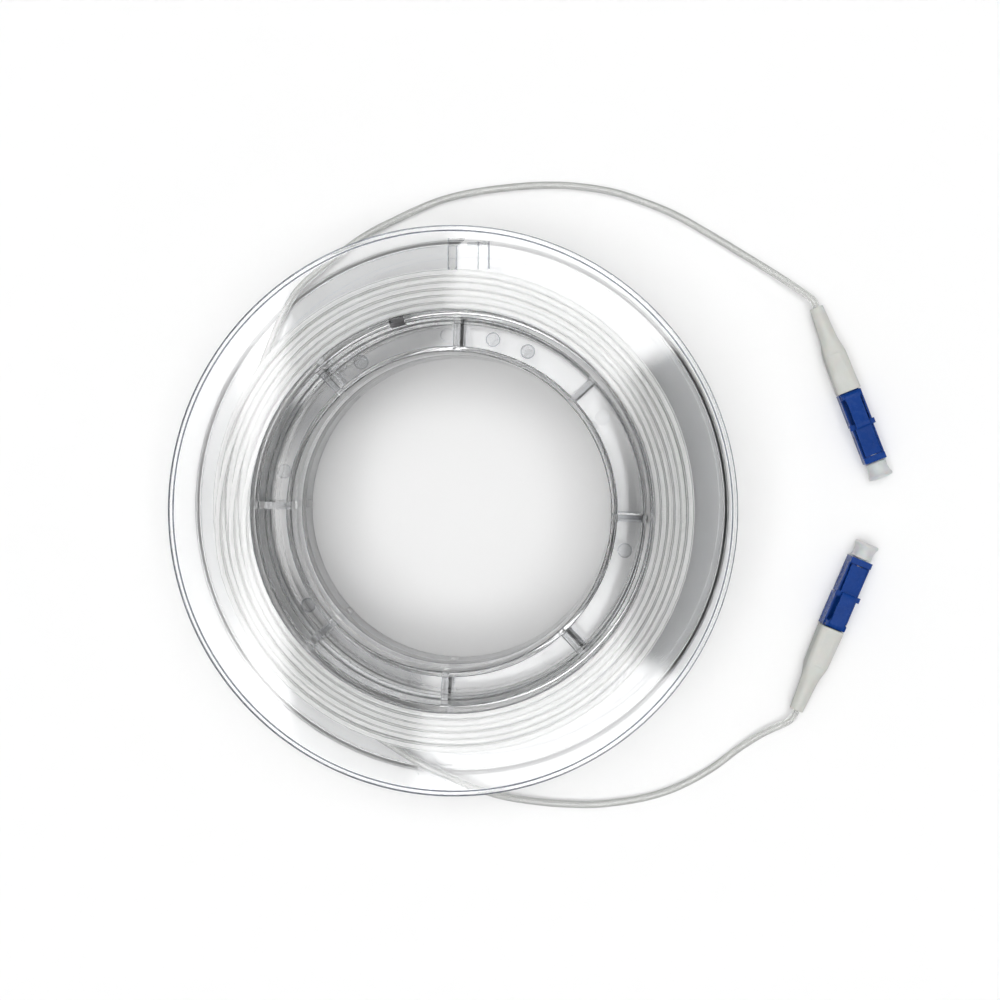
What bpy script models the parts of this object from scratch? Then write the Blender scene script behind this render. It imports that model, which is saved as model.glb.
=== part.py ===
"""Fibre optic patch cord on a clear spool: two moulded spool halves, the wound cord, and two
free tails that end in LC plugs with boots and dust caps.

Metres, +Z up. The origin is the middle of the spool's underside, on the surface it lies on.
"""

import math

import bmesh
import bpy
import numpy as np
from mathutils import Matrix, Vector

# Clearance that pieces which touch keep between them.
TOUCH_GAP = 0.0003

# Spool, made of two halves that meet at mid-height.
SPOOL_DIAMETER = 0.150
SPOOL_HEIGHT = 0.036
BORE_DIAMETER = 0.084
BORE_WALL = 0.0015
HUB_DIAMETER = 0.1058
HUB_WALL = 0.0021
FLANGE_THICKNESS = 0.0018
RIM_WIDTH = 0.0014
RIM_PROUD = 0.0005
WEB_THICKNESS = 0.0016
POCKET_DEPTH = 0.0100
RIB_COUNT = 8
RIB_THICKNESS = 0.00185
RIB_ANGLE = math.radians(-2)
RIB_BITE = 0.0007
SPOOL_SEGMENTS = 64

# Radial slot through the upper flange, and the cord window in the upper hub wall.
SLOT_WIDTH = 0.0020
SLOT_LENGTH = 0.0081
SLOT_RIM_MARGIN = 0.0034
SLOT_ANGLE = math.radians(89.6)
WINDOW_WIDTH = 0.0040
WINDOW_DEPTH = 0.0045
WINDOW_ANGLE = math.radians(105.8)

# Cord and its winding, in layers that nest in each other's grooves. Every other layer lies half
# a turn higher, so it stands proud on the upper end, and the layers between them on the lower.
CORD_DIAMETER = 0.0020
WINDING_LAYERS = 6
LAYER_FLAT = 0.0014
TURN_GROOVE = 0.0006
WINDING_SEGMENTS = 48
ROUTE_STEP = 0.0045
END_STRAIGHT = 0.0015
CORD_BEVEL_STEPS = 2

# Each tail's route, chosen by hand: off the winding, over the lower flange's rim, down to the
# surface and up into the boot.
TAIL_A_ROUTE = [
    (-0.0613, 0.0223, 0.0038), (-0.0579, 0.0334, 0.0038), (-0.0540, 0.0437, 0.0038),
    (-0.0499, 0.0535, 0.0038), (-0.0449, 0.0615, 0.0036), (-0.0371, 0.0684, 0.0027),
    (-0.0282, 0.0754, 0.0017), (-0.0190, 0.0804, 0.0012), (-0.0051, 0.0863, 0.00105),
    (0.0092, 0.0891, 0.00105), (0.0262, 0.0902, 0.00105), (0.0405, 0.0886, 0.00105),
    (0.0502, 0.0857, 0.00105), (0.0599, 0.0817, 0.00105), (0.0696, 0.0762, 0.00105),
    (0.0794, 0.0702, 0.00115), (0.0880, 0.0648, 0.0017), (0.0938, 0.0608, 0.0026),
    (0.0966, 0.0588, 0.0032), (0.09805, 0.05737, 0.0035), (0.09863, 0.05588, 0.0035),
]
TAIL_B_ROUTE = [
    (-0.0364, -0.0540, 0.0038), (-0.0310, -0.0583, 0.0038), (-0.0243, -0.0634, 0.0038),
    (-0.0191, -0.0668, 0.0038), (-0.0112, -0.0716, 0.0038), (-0.0033, -0.0752, 0.0037),
    (0.0038, -0.0785, 0.0030), (0.0121, -0.0812, 0.0019), (0.0210, -0.0827, 0.0012),
    (0.0295, -0.0834, 0.00105), (0.0393, -0.0833, 0.00105), (0.0508, -0.0816, 0.00105),
    (0.0598, -0.0788, 0.00105), (0.0696, -0.0736, 0.00105), (0.0784, -0.0670, 0.0012),
    (0.0844, -0.0630, 0.0018), (0.0890, -0.0606, 0.0028), (0.0917, -0.0591, 0.0035),
    (0.09297, -0.05769, 0.00386), (0.09359, -0.05621, 0.00386),
]

# LC plug. Lengths run along its axis, from the boot's tail to the dust cap's end.
BOOT_LENGTH = 0.0248
BOOT_TAIL_RADIUS = 0.0019
BOOT_NECK_RADIUS = 0.0024
BOOT_FRONT_HALF_WIDTH = 0.0034
BOOT_FRONT_HALF_HEIGHT = 0.0033
BOOT_NECK_AT = 0.34
BOOT_SHOULDER_AT = 0.60
BOOT_SWELL = 0.94
BOOT_SIDES = 20
BOOT_TAIL_POWER = 2.0
BOOT_NECK_POWER = 2.4
BOOT_SHOULDER_POWER = 4.0
BOOT_FRONT_POWER = 5.0

BODY_LENGTH = 0.0095
BODY_HALF_WIDTH = 0.0032
BODY_BELOW_AXIS = 0.0034
BODY_ABOVE_AXIS = 0.0016
BRIDGE_LENGTH = 0.0016
TRIGGER_HALF_WIDTH = 0.0020
TRIGGER_THICKNESS = 0.0009

FRAME_LENGTH = 0.0105
FRAME_HALF_WIDTH = 0.00305
FRAME_BELOW_AXIS = 0.0033
COLLAR_LENGTH = 0.0016
COLLAR_ABOVE_AXIS = 0.0024
LATCH_HALF_WIDTH = 0.0026
LATCH_THICKNESS = 0.0008
LATCH_BAR_LENGTH = 0.0015
LATCH_BAR_HALF_WIDTH = 0.0036
LATCH_LIFT = 0.0004
LATCH_ROOT_LENGTH = 0.0014
FRAME_BORE_RADIUS = 0.00195
FRAME_BORE_DEPTH = 0.0060

FERRULE_RADIUS = 0.000625
FERRULE_BASE_RADIUS = 0.0016
FERRULE_BASE_LENGTH = 0.0010
FERRULE_TIP_RECESS = 0.0002
FERRULE_TIP_CHAMFER = 0.0002

CAP_LENGTH = 0.0045
CAP_RIM_LENGTH = 0.0010
CAP_RIM_RADIUS = 0.00335
CAP_FOOT_RADIUS = 0.00295
CAP_NECK_RADIUS = 0.00275
CAP_TUBE_WALL = 0.00065
CAP_END_WALL = 0.0014
TURNED_SEGMENTS = 20

PLUG_LIFT = 0.0001
PLUG_A_TAIL = (0.09874, 0.05560)
PLUG_A_HEADING = math.radians(-68.85)
PLUG_A_ROLL = 0.0
PLUG_B_TAIL = (0.09371, -0.05593)
PLUG_B_HEADING = math.radians(67.30)
PLUG_B_ROLL = math.radians(7.0)

# Clear tape over tail B where it passes the rim: it lies half-way between two points of the
# route and is as high as the higher of them.
TAPE_LENGTH = 0.0090
TAPE_FOOT = 0.0019
TAPE_THICKNESS = 0.00025
TAPE_ROUTE_POINTS = (4, 5)


def clear_scene():
    for obj in list(bpy.data.objects):
        bpy.data.objects.remove(obj, do_unlink=True)


def new_collection(name):
    collection = bpy.data.collections.new(name)
    bpy.context.scene.collection.children.link(collection)
    return collection


def make_material(name, colour, roughness, metallic=0.0, alpha=1.0):
    """A Principled material with the piece's colour and finish."""
    material = bpy.data.materials.new(name)
    material.use_nodes = True
    shader = material.node_tree.nodes["Principled BSDF"]
    shader.inputs["Base Color"].default_value = (*colour, 1.0)
    shader.inputs["Roughness"].default_value = roughness
    shader.inputs["Metallic"].default_value = metallic
    shader.inputs["Alpha"].default_value = alpha
    return material


def add_object(name, data, collection, material=None, parent=None):
    obj = bpy.data.objects.new(name, data)
    collection.objects.link(obj)
    if material:
        data.materials.append(material)
    obj.parent = parent
    return obj


def as_tool(obj):
    """Marks an object as a cutter or a joining shape, which isn't a piece."""
    obj.hide_render = True
    obj.display_type = "WIRE"
    return obj


def boolean(obj, tool, operation):
    modifier = obj.modifiers.new(f"{operation.lower()} {tool.name}", "BOOLEAN")
    modifier.operation = operation
    modifier.object = tool
    modifier.solver = "EXACT"


def box_mesh(name, low, high, turns=(0.0,)):
    """A box between two corners, or one copy of it for each turn about Z."""
    low, high = Vector(low), Vector(high)
    bm = bmesh.new()
    for turn in turns:
        place = Matrix.Rotation(turn, 4, "Z") @ Matrix.Translation((low + high) / 2)
        size = Matrix.Diagonal((*(high - low), 1.0))
        bmesh.ops.create_cube(bm, size=1.0, matrix=place @ size)
    mesh = bpy.data.meshes.new(name)
    bm.to_mesh(mesh)
    bm.free()
    return mesh


def rod_mesh(name, radius, start, end, segments):
    """A cylinder along X from start to end."""
    bm = bmesh.new()
    place = Matrix.Translation(((start + end) / 2, 0, 0)) @ Matrix.Rotation(math.pi / 2, 4, "Y")
    bmesh.ops.create_cone(bm, cap_ends=True, segments=segments, radius1=radius, radius2=radius,
                          depth=end - start, matrix=place)
    mesh = bpy.data.meshes.new(name)
    bm.to_mesh(mesh)
    bm.free()
    return mesh


def turned(name, profile, segments, collection, material, parent=None, closed=True):
    """A turned piece from its (radius, height) profile, which runs down its outer side."""
    count = len(profile)
    edges = [(i, i + 1) for i in range(count - 1)]
    if closed:
        edges.append((count - 1, 0))
    mesh = bpy.data.meshes.new(name)
    mesh.from_pydata([(radius, 0.0, height) for radius, height in profile], edges, [])
    obj = add_object(name, mesh, collection, material, parent)
    screw = obj.modifiers.new("turn", "SCREW")
    screw.axis = "Z"
    screw.angle = 2 * math.pi
    screw.steps = segments
    screw.render_steps = segments
    screw.use_merge_vertices = True
    screw.merge_threshold = 0.00001
    weld = obj.modifiers.new("close the poles", "WELD")
    weld.merge_threshold = 0.00001
    return obj


def prism_mesh(name, outline, half_width):
    """A flat (x, z) outline given a width to both sides of the XZ plane."""
    curve = bpy.data.curves.new(name, "CURVE")
    curve.dimensions = "2D"
    curve.fill_mode = "BOTH"
    curve.extrude = half_width
    spline = curve.splines.new("POLY")
    spline.points.add(len(outline) - 1)
    for point, (x, z) in zip(spline.points, outline):
        point.co = (x, z, 0.0, 1.0)
    spline.use_cyclic_u = True
    guide = bpy.data.objects.new(name, curve)
    bpy.context.scene.collection.objects.link(guide)
    graph = bpy.context.evaluated_depsgraph_get()
    mesh = bpy.data.meshes.new_from_object(guide.evaluated_get(graph))
    bpy.data.objects.remove(guide)
    bm = bmesh.new()
    bm.from_mesh(mesh)
    bmesh.ops.remove_doubles(bm, verts=bm.verts, dist=0.000001)
    bmesh.ops.rotate(bm, verts=bm.verts, matrix=Matrix.Rotation(math.pi / 2, 3, "X"))
    bmesh.ops.recalc_face_normals(bm, faces=bm.faces)
    bm.to_mesh(mesh)
    bm.free()
    mesh.name = name
    return mesh


# Spool


def half_profile():
    """The lower half's section: bore wall, web, hub wall, flange and rim, (radius, height)."""
    top = SPOOL_HEIGHT / 2 - TOUCH_GAP / 2
    bore = BORE_DIAMETER / 2
    bore_wall = bore + BORE_WALL
    hub = HUB_DIAMETER / 2
    hub_inner = hub - HUB_WALL
    rim = SPOOL_DIAMETER / 2
    rim_inner = rim - RIM_WIDTH
    plate_top = RIM_PROUD + FLANGE_THICKNESS
    web_top = POCKET_DEPTH + WEB_THICKNESS
    return [
        (bore, top), (bore_wall, top), (bore_wall, web_top), (hub_inner, web_top),
        (hub_inner, top), (hub, top), (hub, plate_top), (rim, plate_top), (rim, 0.0),
        (rim_inner, 0.0), (rim_inner, RIM_PROUD), (hub, RIM_PROUD), (hub, 0.0),
        (hub_inner, 0.0), (hub_inner, POCKET_DEPTH), (bore_wall, POCKET_DEPTH),
        (bore_wall, 0.0), (bore, 0.0),
    ]


def rib_tool(name, low, high, tools):
    """The radial ribs across the pocket ring, from one height to another."""
    inner = BORE_DIAMETER / 2 + BORE_WALL - RIB_BITE
    outer = HUB_DIAMETER / 2 - HUB_WALL + RIB_BITE
    turns = [RIB_ANGLE + 2 * math.pi * i / RIB_COUNT for i in range(RIB_COUNT)]
    mesh = box_mesh(name, (inner, -RIB_THICKNESS / 2, low), (outer, RIB_THICKNESS / 2, high),
                    turns)
    return as_tool(add_object(name, mesh, tools))


def make_lower_half(parts, tools, clear):
    half = turned("spool_lower_half", half_profile(), SPOOL_SEGMENTS, parts, clear)
    ribs = rib_tool("lower_ribs", 0.0, POCKET_DEPTH + WEB_THICKNESS / 2, tools)
    boolean(half, ribs, "UNION")


def make_upper_half(parts, tools, clear):
    profile = [(radius, SPOOL_HEIGHT - height) for radius, height in reversed(half_profile())]
    half = turned("spool_upper_half", profile, SPOOL_SEGMENTS, parts, clear)
    low = SPOOL_HEIGHT - POCKET_DEPTH - WEB_THICKNESS / 2
    boolean(half, rib_tool("upper_ribs", low, SPOOL_HEIGHT, tools), "UNION")
    boolean(half, slot_tool(tools), "DIFFERENCE")
    boolean(half, window_tool(tools), "DIFFERENCE")


def slot_tool(tools):
    """The radial slot, with a round inner end, through the upper flange."""
    end = SPOOL_DIAMETER / 2 - SLOT_RIM_MARGIN
    start = end - SLOT_LENGTH + SLOT_WIDTH / 2
    low = SPOOL_HEIGHT - RIM_PROUD - 2 * FLANGE_THICKNESS
    turn = Matrix.Rotation(SLOT_ANGLE, 4, "Z")
    bm = bmesh.new()
    middle = Matrix.Translation(((start + end) / 2, 0, (low + SPOOL_HEIGHT) / 2))
    size = Matrix.Diagonal((end - start, SLOT_WIDTH, SPOOL_HEIGHT - low, 1.0))
    bmesh.ops.create_cube(bm, size=1.0, matrix=turn @ middle @ size)
    mesh = bpy.data.meshes.new("flange_slot")
    bm.to_mesh(mesh)
    bm.free()
    tool = as_tool(add_object("flange_slot", mesh, tools))
    bm = bmesh.new()
    place = turn @ Matrix.Translation((start, 0, (low + SPOOL_HEIGHT) / 2))
    bmesh.ops.create_cone(bm, cap_ends=True, segments=12, radius1=SLOT_WIDTH / 2,
                          radius2=SLOT_WIDTH / 2, depth=SPOOL_HEIGHT - low, matrix=place)
    mesh = bpy.data.meshes.new("flange_slot_end")
    bm.to_mesh(mesh)
    bm.free()
    boolean(tool, as_tool(add_object("flange_slot_end", mesh, tools)), "UNION")
    return tool


def window_tool(tools):
    """The window that takes the cord's inner end through the upper hub wall."""
    outer = HUB_DIAMETER / 2 - TOUCH_GAP
    inner = HUB_DIAMETER / 2 - 2 * HUB_WALL
    low = SPOOL_HEIGHT - WINDOW_DEPTH
    mesh = box_mesh("hub_window", (inner, -WINDOW_WIDTH / 2, low),
                    (outer, WINDOW_WIDTH / 2, SPOOL_HEIGHT + WINDOW_DEPTH), [WINDOW_ANGLE])
    return as_tool(add_object("hub_window", mesh, tools))


# Winding and tails


def winding_end(ridges, height, step, proud):
    """An end's (radius, height) points from the bore outwards.

    A proud layer comes to a ridge at the given height. The layers between are flat grooves,
    one step deeper.
    """
    points = [(ridges[0] - CORD_DIAMETER / 2, height + step)]
    for i, ridge in enumerate(ridges):
        if i % 2 == proud:
            points.append((ridge, height))
        else:
            points += [(ridge + side * LAYER_FLAT / 2, height + step) for side in (-1, 1)]
    return points


def make_winding(parts, material):
    """The wound cord as one ring: its layers show on both ends, and its turns on the outside."""
    inner = HUB_DIAMETER / 2 + TOUCH_GAP
    low = RIM_PROUD + FLANGE_THICKNESS + TOUCH_GAP
    high = SPOOL_HEIGHT - low
    turns = round((high - low) / CORD_DIAMETER - 0.5)
    pitch = (high - low - CORD_DIAMETER) / (turns - 0.5)
    nest = CORD_DIAMETER * math.sqrt(3) / 2
    ridges = [inner + CORD_DIAMETER / 2 + nest * i for i in range(WINDING_LAYERS)]
    outer = ridges[-1] + CORD_DIAMETER / 2
    last = (WINDING_LAYERS - 1) % 2
    top = winding_end(ridges, high, -pitch / 2, last)
    shoulder = CORD_DIAMETER / 2 * (1 - math.sqrt(0.5))
    top.append((outer - shoulder, high - shoulder))
    side = []
    for turn in range(turns):
        crest = high - CORD_DIAMETER / 2 - pitch * turn
        side += [(outer, crest), (outer - TURN_GROOVE, crest - pitch / 2)]
    bottom = winding_end(ridges, low, pitch / 2, 1 - last)
    turned("cable_winding", top + side[:-1] + bottom[::-1], WINDING_SEGMENTS, parts, material)


def smooth_route(route, step):
    """Points a step apart on a curve through the route's points, the last one closer.

    Each stretch is a cubic whose slope at a route point is the mean slope of its neighbours.
    """
    points = np.array(route)
    padded = np.vstack([2 * points[0] - points[1], points, 2 * points[-1] - points[-2]])
    t = np.linspace(0, 1, 40, endpoint=False)[:, None]
    dense = []
    for a, b, c, d in zip(padded, padded[1:], padded[2:], padded[3:]):
        dense.append(0.5 * (2 * b + (c - a) * t + (2 * a - 5 * b + 4 * c - d) * t**2
                            + (3 * b - a - 3 * c + d) * t**3))
    dense = np.vstack(dense + [points[-1:]])
    along = np.concatenate([[0], np.cumsum(np.linalg.norm(np.diff(dense, axis=0), axis=1))])
    last = along[-1] - END_STRAIGHT
    marks = np.append(np.linspace(0, last, round(last / step) + 1), along[-1])
    return np.stack([np.interp(marks, along, dense[:, k]) for k in range(3)], axis=1)


def make_tail(name, route, parts, material):
    """A free tail of the cord: a round tube along its route, with flat ends."""
    curve = bpy.data.curves.new(name, "CURVE")
    curve.dimensions = "3D"
    curve.bevel_depth = CORD_DIAMETER / 2
    curve.bevel_resolution = CORD_BEVEL_STEPS
    curve.use_fill_caps = True
    points = smooth_route(route, ROUTE_STEP)
    spline = curve.splines.new("POLY")
    spline.points.add(len(points) - 1)
    for point, place in zip(spline.points, points):
        point.co = (*place, 1.0)
    add_object(name, curve, parts, material)


def make_tape(parts, material):
    """A strip of clear tape: an arch over the cord with a foot on each side of it."""
    start, end = (Vector(TAIL_B_ROUTE[i]) for i in TAPE_ROUTE_POINTS)
    centre = (start + end) / 2
    centre.z = max(start.z, end.z)
    heading = math.atan2(end.y - start.y, end.x - start.x)
    inner = CORD_DIAMETER / 2 + TOUCH_GAP
    outer = inner + TAPE_THICKNESS
    foot = RIM_PROUD + FLANGE_THICKNESS + TOUCH_GAP - centre.z
    reach = outer + TAPE_FOOT
    arc = [math.radians(angle) for angle in range(0, 181, 20)]
    outline = [(reach, foot), (reach, foot + TAPE_THICKNESS), (outer, foot + TAPE_THICKNESS)]
    outline += [(outer * math.cos(a), outer * math.sin(a)) for a in arc]
    outline += [(-outer, foot + TAPE_THICKNESS), (-reach, foot + TAPE_THICKNESS),
                (-reach, foot), (-inner, foot)]
    outline += [(inner * math.cos(a), inner * math.sin(a)) for a in reversed(arc)]
    outline.append((inner, foot))
    obj = add_object("tape_strip", prism_mesh("tape_strip", outline, TAPE_LENGTH / 2), parts,
                     material)
    obj.location = centre
    obj.rotation_euler = (0, 0, heading - math.pi / 2)


# LC plug, in its own frame: +X from the boot's tail to the tip, +Z to the latch side

BODY_START = BOOT_LENGTH + TOUCH_GAP
BODY_END = BODY_START + BODY_LENGTH
FRAME_START = BODY_END + TOUCH_GAP
FRAME_END = FRAME_START + FRAME_LENGTH
FRAME_BORE_FLOOR = FRAME_END - FRAME_BORE_DEPTH
LATCH_UNDER = BODY_ABOVE_AXIS + LATCH_LIFT
LATCH_TOP = LATCH_UNDER + LATCH_THICKNESS
LATCH_BAR_END = FRAME_START - TOUCH_GAP + LATCH_BAR_LENGTH / 2
TRIGGER_UNDER = LATCH_TOP + TOUCH_GAP
TRIGGER_TOP = TRIGGER_UNDER + TRIGGER_THICKNESS


def plug_empty(name, tail, heading, roll, parts):
    """The plug's axis: an empty at the boot's tail, as high as its lowest corner needs."""
    low_corner = (BODY_BELOW_AXIS * math.cos(roll) + BODY_HALF_WIDTH * abs(math.sin(roll)))
    empty = add_object(name, None, parts)
    empty.location = (*tail, low_corner + PLUG_LIFT)
    empty.rotation_euler = (roll, 0, heading)
    return empty


def make_boot(label, parts, material, parent):
    """The boot: a loft from a round tail to a rounded-square front.

    Along its length the sections hold a narrow neck, swell at the shoulder and then run
    almost straight. A section is a superellipse, whose power grows towards the front.
    """
    sections = [
        (0.0, BOOT_TAIL_RADIUS, BOOT_TAIL_RADIUS, BOOT_TAIL_POWER),
        (BOOT_NECK_AT, BOOT_NECK_RADIUS, BOOT_NECK_RADIUS, BOOT_NECK_POWER),
    ]
    for share in (0.2, 0.5, 0.8, 1.0):
        ease = share * share * (3 - 2 * share)
        at = BOOT_NECK_AT + (BOOT_SHOULDER_AT - BOOT_NECK_AT) * share
        sections.append((
            at,
            BOOT_NECK_RADIUS + (BOOT_FRONT_HALF_WIDTH * BOOT_SWELL - BOOT_NECK_RADIUS) * ease,
            BOOT_NECK_RADIUS + (BOOT_FRONT_HALF_HEIGHT * BOOT_SWELL - BOOT_NECK_RADIUS) * ease,
            BOOT_NECK_POWER + (BOOT_SHOULDER_POWER - BOOT_NECK_POWER) * share,
        ))
    sections.append((1.0, BOOT_FRONT_HALF_WIDTH, BOOT_FRONT_HALF_HEIGHT, BOOT_FRONT_POWER))
    angles = [2 * math.pi * (i + 0.5) / BOOT_SIDES for i in range(BOOT_SIDES)]
    bm = bmesh.new()
    rings = []
    for at, half_width, half_height, power in sections:
        ring = []
        for angle in angles:
            c, s = math.cos(angle), math.sin(angle)
            y = half_width * math.copysign(abs(c) ** (2 / power), c)
            z = half_height * math.copysign(abs(s) ** (2 / power), s)
            ring.append(bm.verts.new((at * BOOT_LENGTH, y, z)))
        rings.append(ring)
    for back, front in zip(rings, rings[1:]):
        for i in range(BOOT_SIDES):
            j = (i + 1) % BOOT_SIDES
            bm.faces.new((back[i], back[j], front[j], front[i]))
    bm.faces.new(rings[0])
    bm.faces.new(rings[-1])
    bmesh.ops.recalc_face_normals(bm, faces=bm.faces)
    mesh = bpy.data.meshes.new(f"boot_{label}")
    bm.to_mesh(mesh)
    bm.free()
    add_object(f"boot_{label}", mesh, parts, material, parent)


def make_rear_body(label, parts, tools, material, parent):
    """The rear body with its trigger, a lever that stands free above the body."""
    name = f"rear_body_{label}"
    block = box_mesh(name, (BODY_START, -BODY_HALF_WIDTH, -BODY_BELOW_AXIS),
                     (BODY_END, BODY_HALF_WIDTH, BODY_ABOVE_AXIS))
    body = add_object(name, block, parts, material, parent)
    bridge_end = BODY_START + BRIDGE_LENGTH
    outline = [
        (BODY_START, 0.0), (bridge_end, 0.0), (bridge_end, TRIGGER_UNDER),
        (bridge_end, TRIGGER_TOP), (BODY_START, TRIGGER_TOP),
    ]
    bridge = prism_mesh(f"bridge_{label}", outline, BODY_HALF_WIDTH - TOUCH_GAP)
    boolean(body, as_tool(add_object(bridge.name, bridge, tools, None, parent)), "UNION")
    lever = box_mesh(f"lever_{label}",
                     (BODY_START + BRIDGE_LENGTH / 2, -TRIGGER_HALF_WIDTH, TRIGGER_UNDER),
                     (LATCH_BAR_END, TRIGGER_HALF_WIDTH, TRIGGER_TOP))
    boolean(body, as_tool(add_object(lever.name, lever, tools, None, parent)), "UNION")


def make_plug_frame(label, parts, tools, material, parent):
    """The plug frame: a block with the ferrule's bore, a front collar and the latch arm."""
    name = f"plug_frame_{label}"
    block = box_mesh(name, (FRAME_START, -FRAME_HALF_WIDTH, -FRAME_BELOW_AXIS),
                     (FRAME_END, FRAME_HALF_WIDTH, BODY_ABOVE_AXIS))
    frame = add_object(name, block, parts, material, parent)
    collar_start = FRAME_END - COLLAR_LENGTH
    root_start = collar_start - LATCH_ROOT_LENGTH
    collar = box_mesh(f"collar_{label}", (collar_start, -FRAME_HALF_WIDTH, 0.0),
                      (FRAME_END, FRAME_HALF_WIDTH, COLLAR_ABOVE_AXIS))
    boolean(frame, as_tool(add_object(collar.name, collar, tools, None, parent)), "UNION")
    bar_start = LATCH_BAR_END - LATCH_BAR_LENGTH
    arm_end = collar_start + COLLAR_LENGTH / 4
    root_top = COLLAR_ABOVE_AXIS - TOUCH_GAP
    outline = [
        (arm_end, 0.0), (arm_end, root_top), (collar_start, root_top),
        (LATCH_BAR_END, LATCH_TOP), (bar_start, LATCH_TOP), (bar_start, LATCH_UNDER),
        (LATCH_BAR_END, LATCH_UNDER), (root_start, LATCH_UNDER - LATCH_LIFT / 2),
        (root_start, 0.0),
    ]
    arm = prism_mesh(f"latch_arm_{label}", outline, LATCH_HALF_WIDTH)
    boolean(frame, as_tool(add_object(arm.name, arm, tools, None, parent)), "UNION")
    bar = box_mesh(f"latch_bar_{label}", (bar_start, -LATCH_BAR_HALF_WIDTH, LATCH_UNDER),
                   (LATCH_BAR_END, LATCH_BAR_HALF_WIDTH, LATCH_TOP))
    boolean(frame, as_tool(add_object(bar.name, bar, tools, None, parent)), "UNION")
    bore = rod_mesh(f"bore_{label}", FRAME_BORE_RADIUS, FRAME_BORE_FLOOR,
                    FRAME_END + COLLAR_LENGTH, TURNED_SEGMENTS)
    boolean(frame, as_tool(add_object(bore.name, bore, tools, None, parent)), "DIFFERENCE")


def along_axis(obj):
    """Lays a piece that was turned about Z along the plug's X axis."""
    obj.rotation_euler = (0, math.pi / 2, 0)


def make_ferrule(label, parts, material, parent):
    """The ferrule that holds the fibre, on the wider flange that seats in the frame's bore."""
    start = FRAME_BORE_FLOOR + TOUCH_GAP
    base_end = start + FERRULE_BASE_LENGTH
    tip = FRAME_END - FERRULE_TIP_RECESS
    profile = [
        (0.0, tip), (FERRULE_RADIUS - FERRULE_TIP_CHAMFER, tip),
        (FERRULE_RADIUS, tip - FERRULE_TIP_CHAMFER), (FERRULE_RADIUS, base_end),
        (FERRULE_BASE_RADIUS, base_end), (FERRULE_BASE_RADIUS, start), (0.0, start),
    ]
    along_axis(turned(f"ferrule_{label}", profile, TURNED_SEGMENTS, parts, material, parent,
                      closed=False))


def make_dust_cap(label, parts, material, parent):
    """The dust cap: a hollow tube over the ferrule and a waisted head with a rim."""
    tube_start = FRAME_BORE_FLOOR + TOUCH_GAP + FERRULE_BASE_LENGTH + TOUCH_GAP
    head_start = FRAME_END + TOUCH_GAP
    end = head_start + CAP_LENGTH
    bore = FERRULE_RADIUS + TOUCH_GAP
    tube = bore + CAP_TUBE_WALL
    rim_start = end - CAP_RIM_LENGTH
    waist = (head_start + rim_start) / 2
    profile = [
        (0.0, end), (CAP_RIM_RADIUS, end), (CAP_RIM_RADIUS, rim_start),
        (CAP_NECK_RADIUS, waist), (CAP_FOOT_RADIUS, head_start), (tube, head_start),
        (tube, tube_start), (bore, tube_start), (bore, end - CAP_END_WALL),
        (0.0, end - CAP_END_WALL),
    ]
    along_axis(turned(f"dust_cap_{label}", profile, TURNED_SEGMENTS, parts, material, parent,
                      closed=False))


def make_plug(label, tail, heading, roll, parts, tools, materials):
    empty = plug_empty(f"plug_{label}_axis", tail, heading, roll, parts)
    make_boot(label, parts, materials["boot"], empty)
    make_rear_body(label, parts, tools, materials["rear_body"], empty)
    make_plug_frame(label, parts, tools, materials["plug_frame"], empty)
    make_ferrule(label, parts, materials["ferrule"], empty)
    make_dust_cap(label, parts, materials["dust_cap"], empty)


def main():
    clear_scene()
    parts = new_collection("fibre_patch_cord_on_spool")
    tools = new_collection("construction")
    make_lower_half(parts, tools, make_material("spool_lower_clear", (0.86, 0.88, 0.90), 0.06,
                                                alpha=0.35))
    make_upper_half(parts, tools, make_material("spool_upper_clear", (0.88, 0.90, 0.92), 0.06,
                                                alpha=0.35))
    make_winding(parts, make_material("wound_cord", (0.86, 0.87, 0.86), 0.30))
    make_tail("tail_cord_a", TAIL_A_ROUTE, parts, make_material("cord_a", (0.84, 0.85, 0.84), 0.3))
    make_tail("tail_cord_b", TAIL_B_ROUTE, parts, make_material("cord_b", (0.84, 0.85, 0.84), 0.3))
    make_tape(parts, make_material("clear_tape", (0.90, 0.91, 0.92), 0.12, alpha=0.35))
    for label, tail, heading, roll in (
        ("a", PLUG_A_TAIL, PLUG_A_HEADING, PLUG_A_ROLL),
        ("b", PLUG_B_TAIL, PLUG_B_HEADING, PLUG_B_ROLL),
    ):
        materials = {
            "boot": make_material(f"boot_grey_{label}", (0.66, 0.67, 0.63), 0.45),
            "rear_body": make_material(f"body_blue_{label}", (0.010, 0.060, 0.30), 0.28),
            "plug_frame": make_material(f"frame_blue_{label}", (0.012, 0.065, 0.32), 0.25),
            "ferrule": make_material(f"ferrule_white_{label}", (0.86, 0.85, 0.82), 0.15),
            "dust_cap": make_material(f"cap_frosted_{label}", (0.78, 0.80, 0.80), 0.35,
                                      alpha=0.8),
        }
        make_plug(label, tail, heading, roll, parts, tools, materials)


main()
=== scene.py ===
# %% [markdown]
# # A fibre optic patch cord on a clear spool
#
# The real thing is a clear plastic spool with about thirty metres of translucent cord on it. Both
# ends of the cord come off the winding and end in blue LC plugs with pale boots and dust caps.
# The construction already exists as CAD solids, so this lesson only dresses it: every new surface
# is worked out with numpy and put where its solid lies.

# %% Load the frame
import math

import bmesh
import bpy
import numpy as np
from mathutils import Matrix


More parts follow.
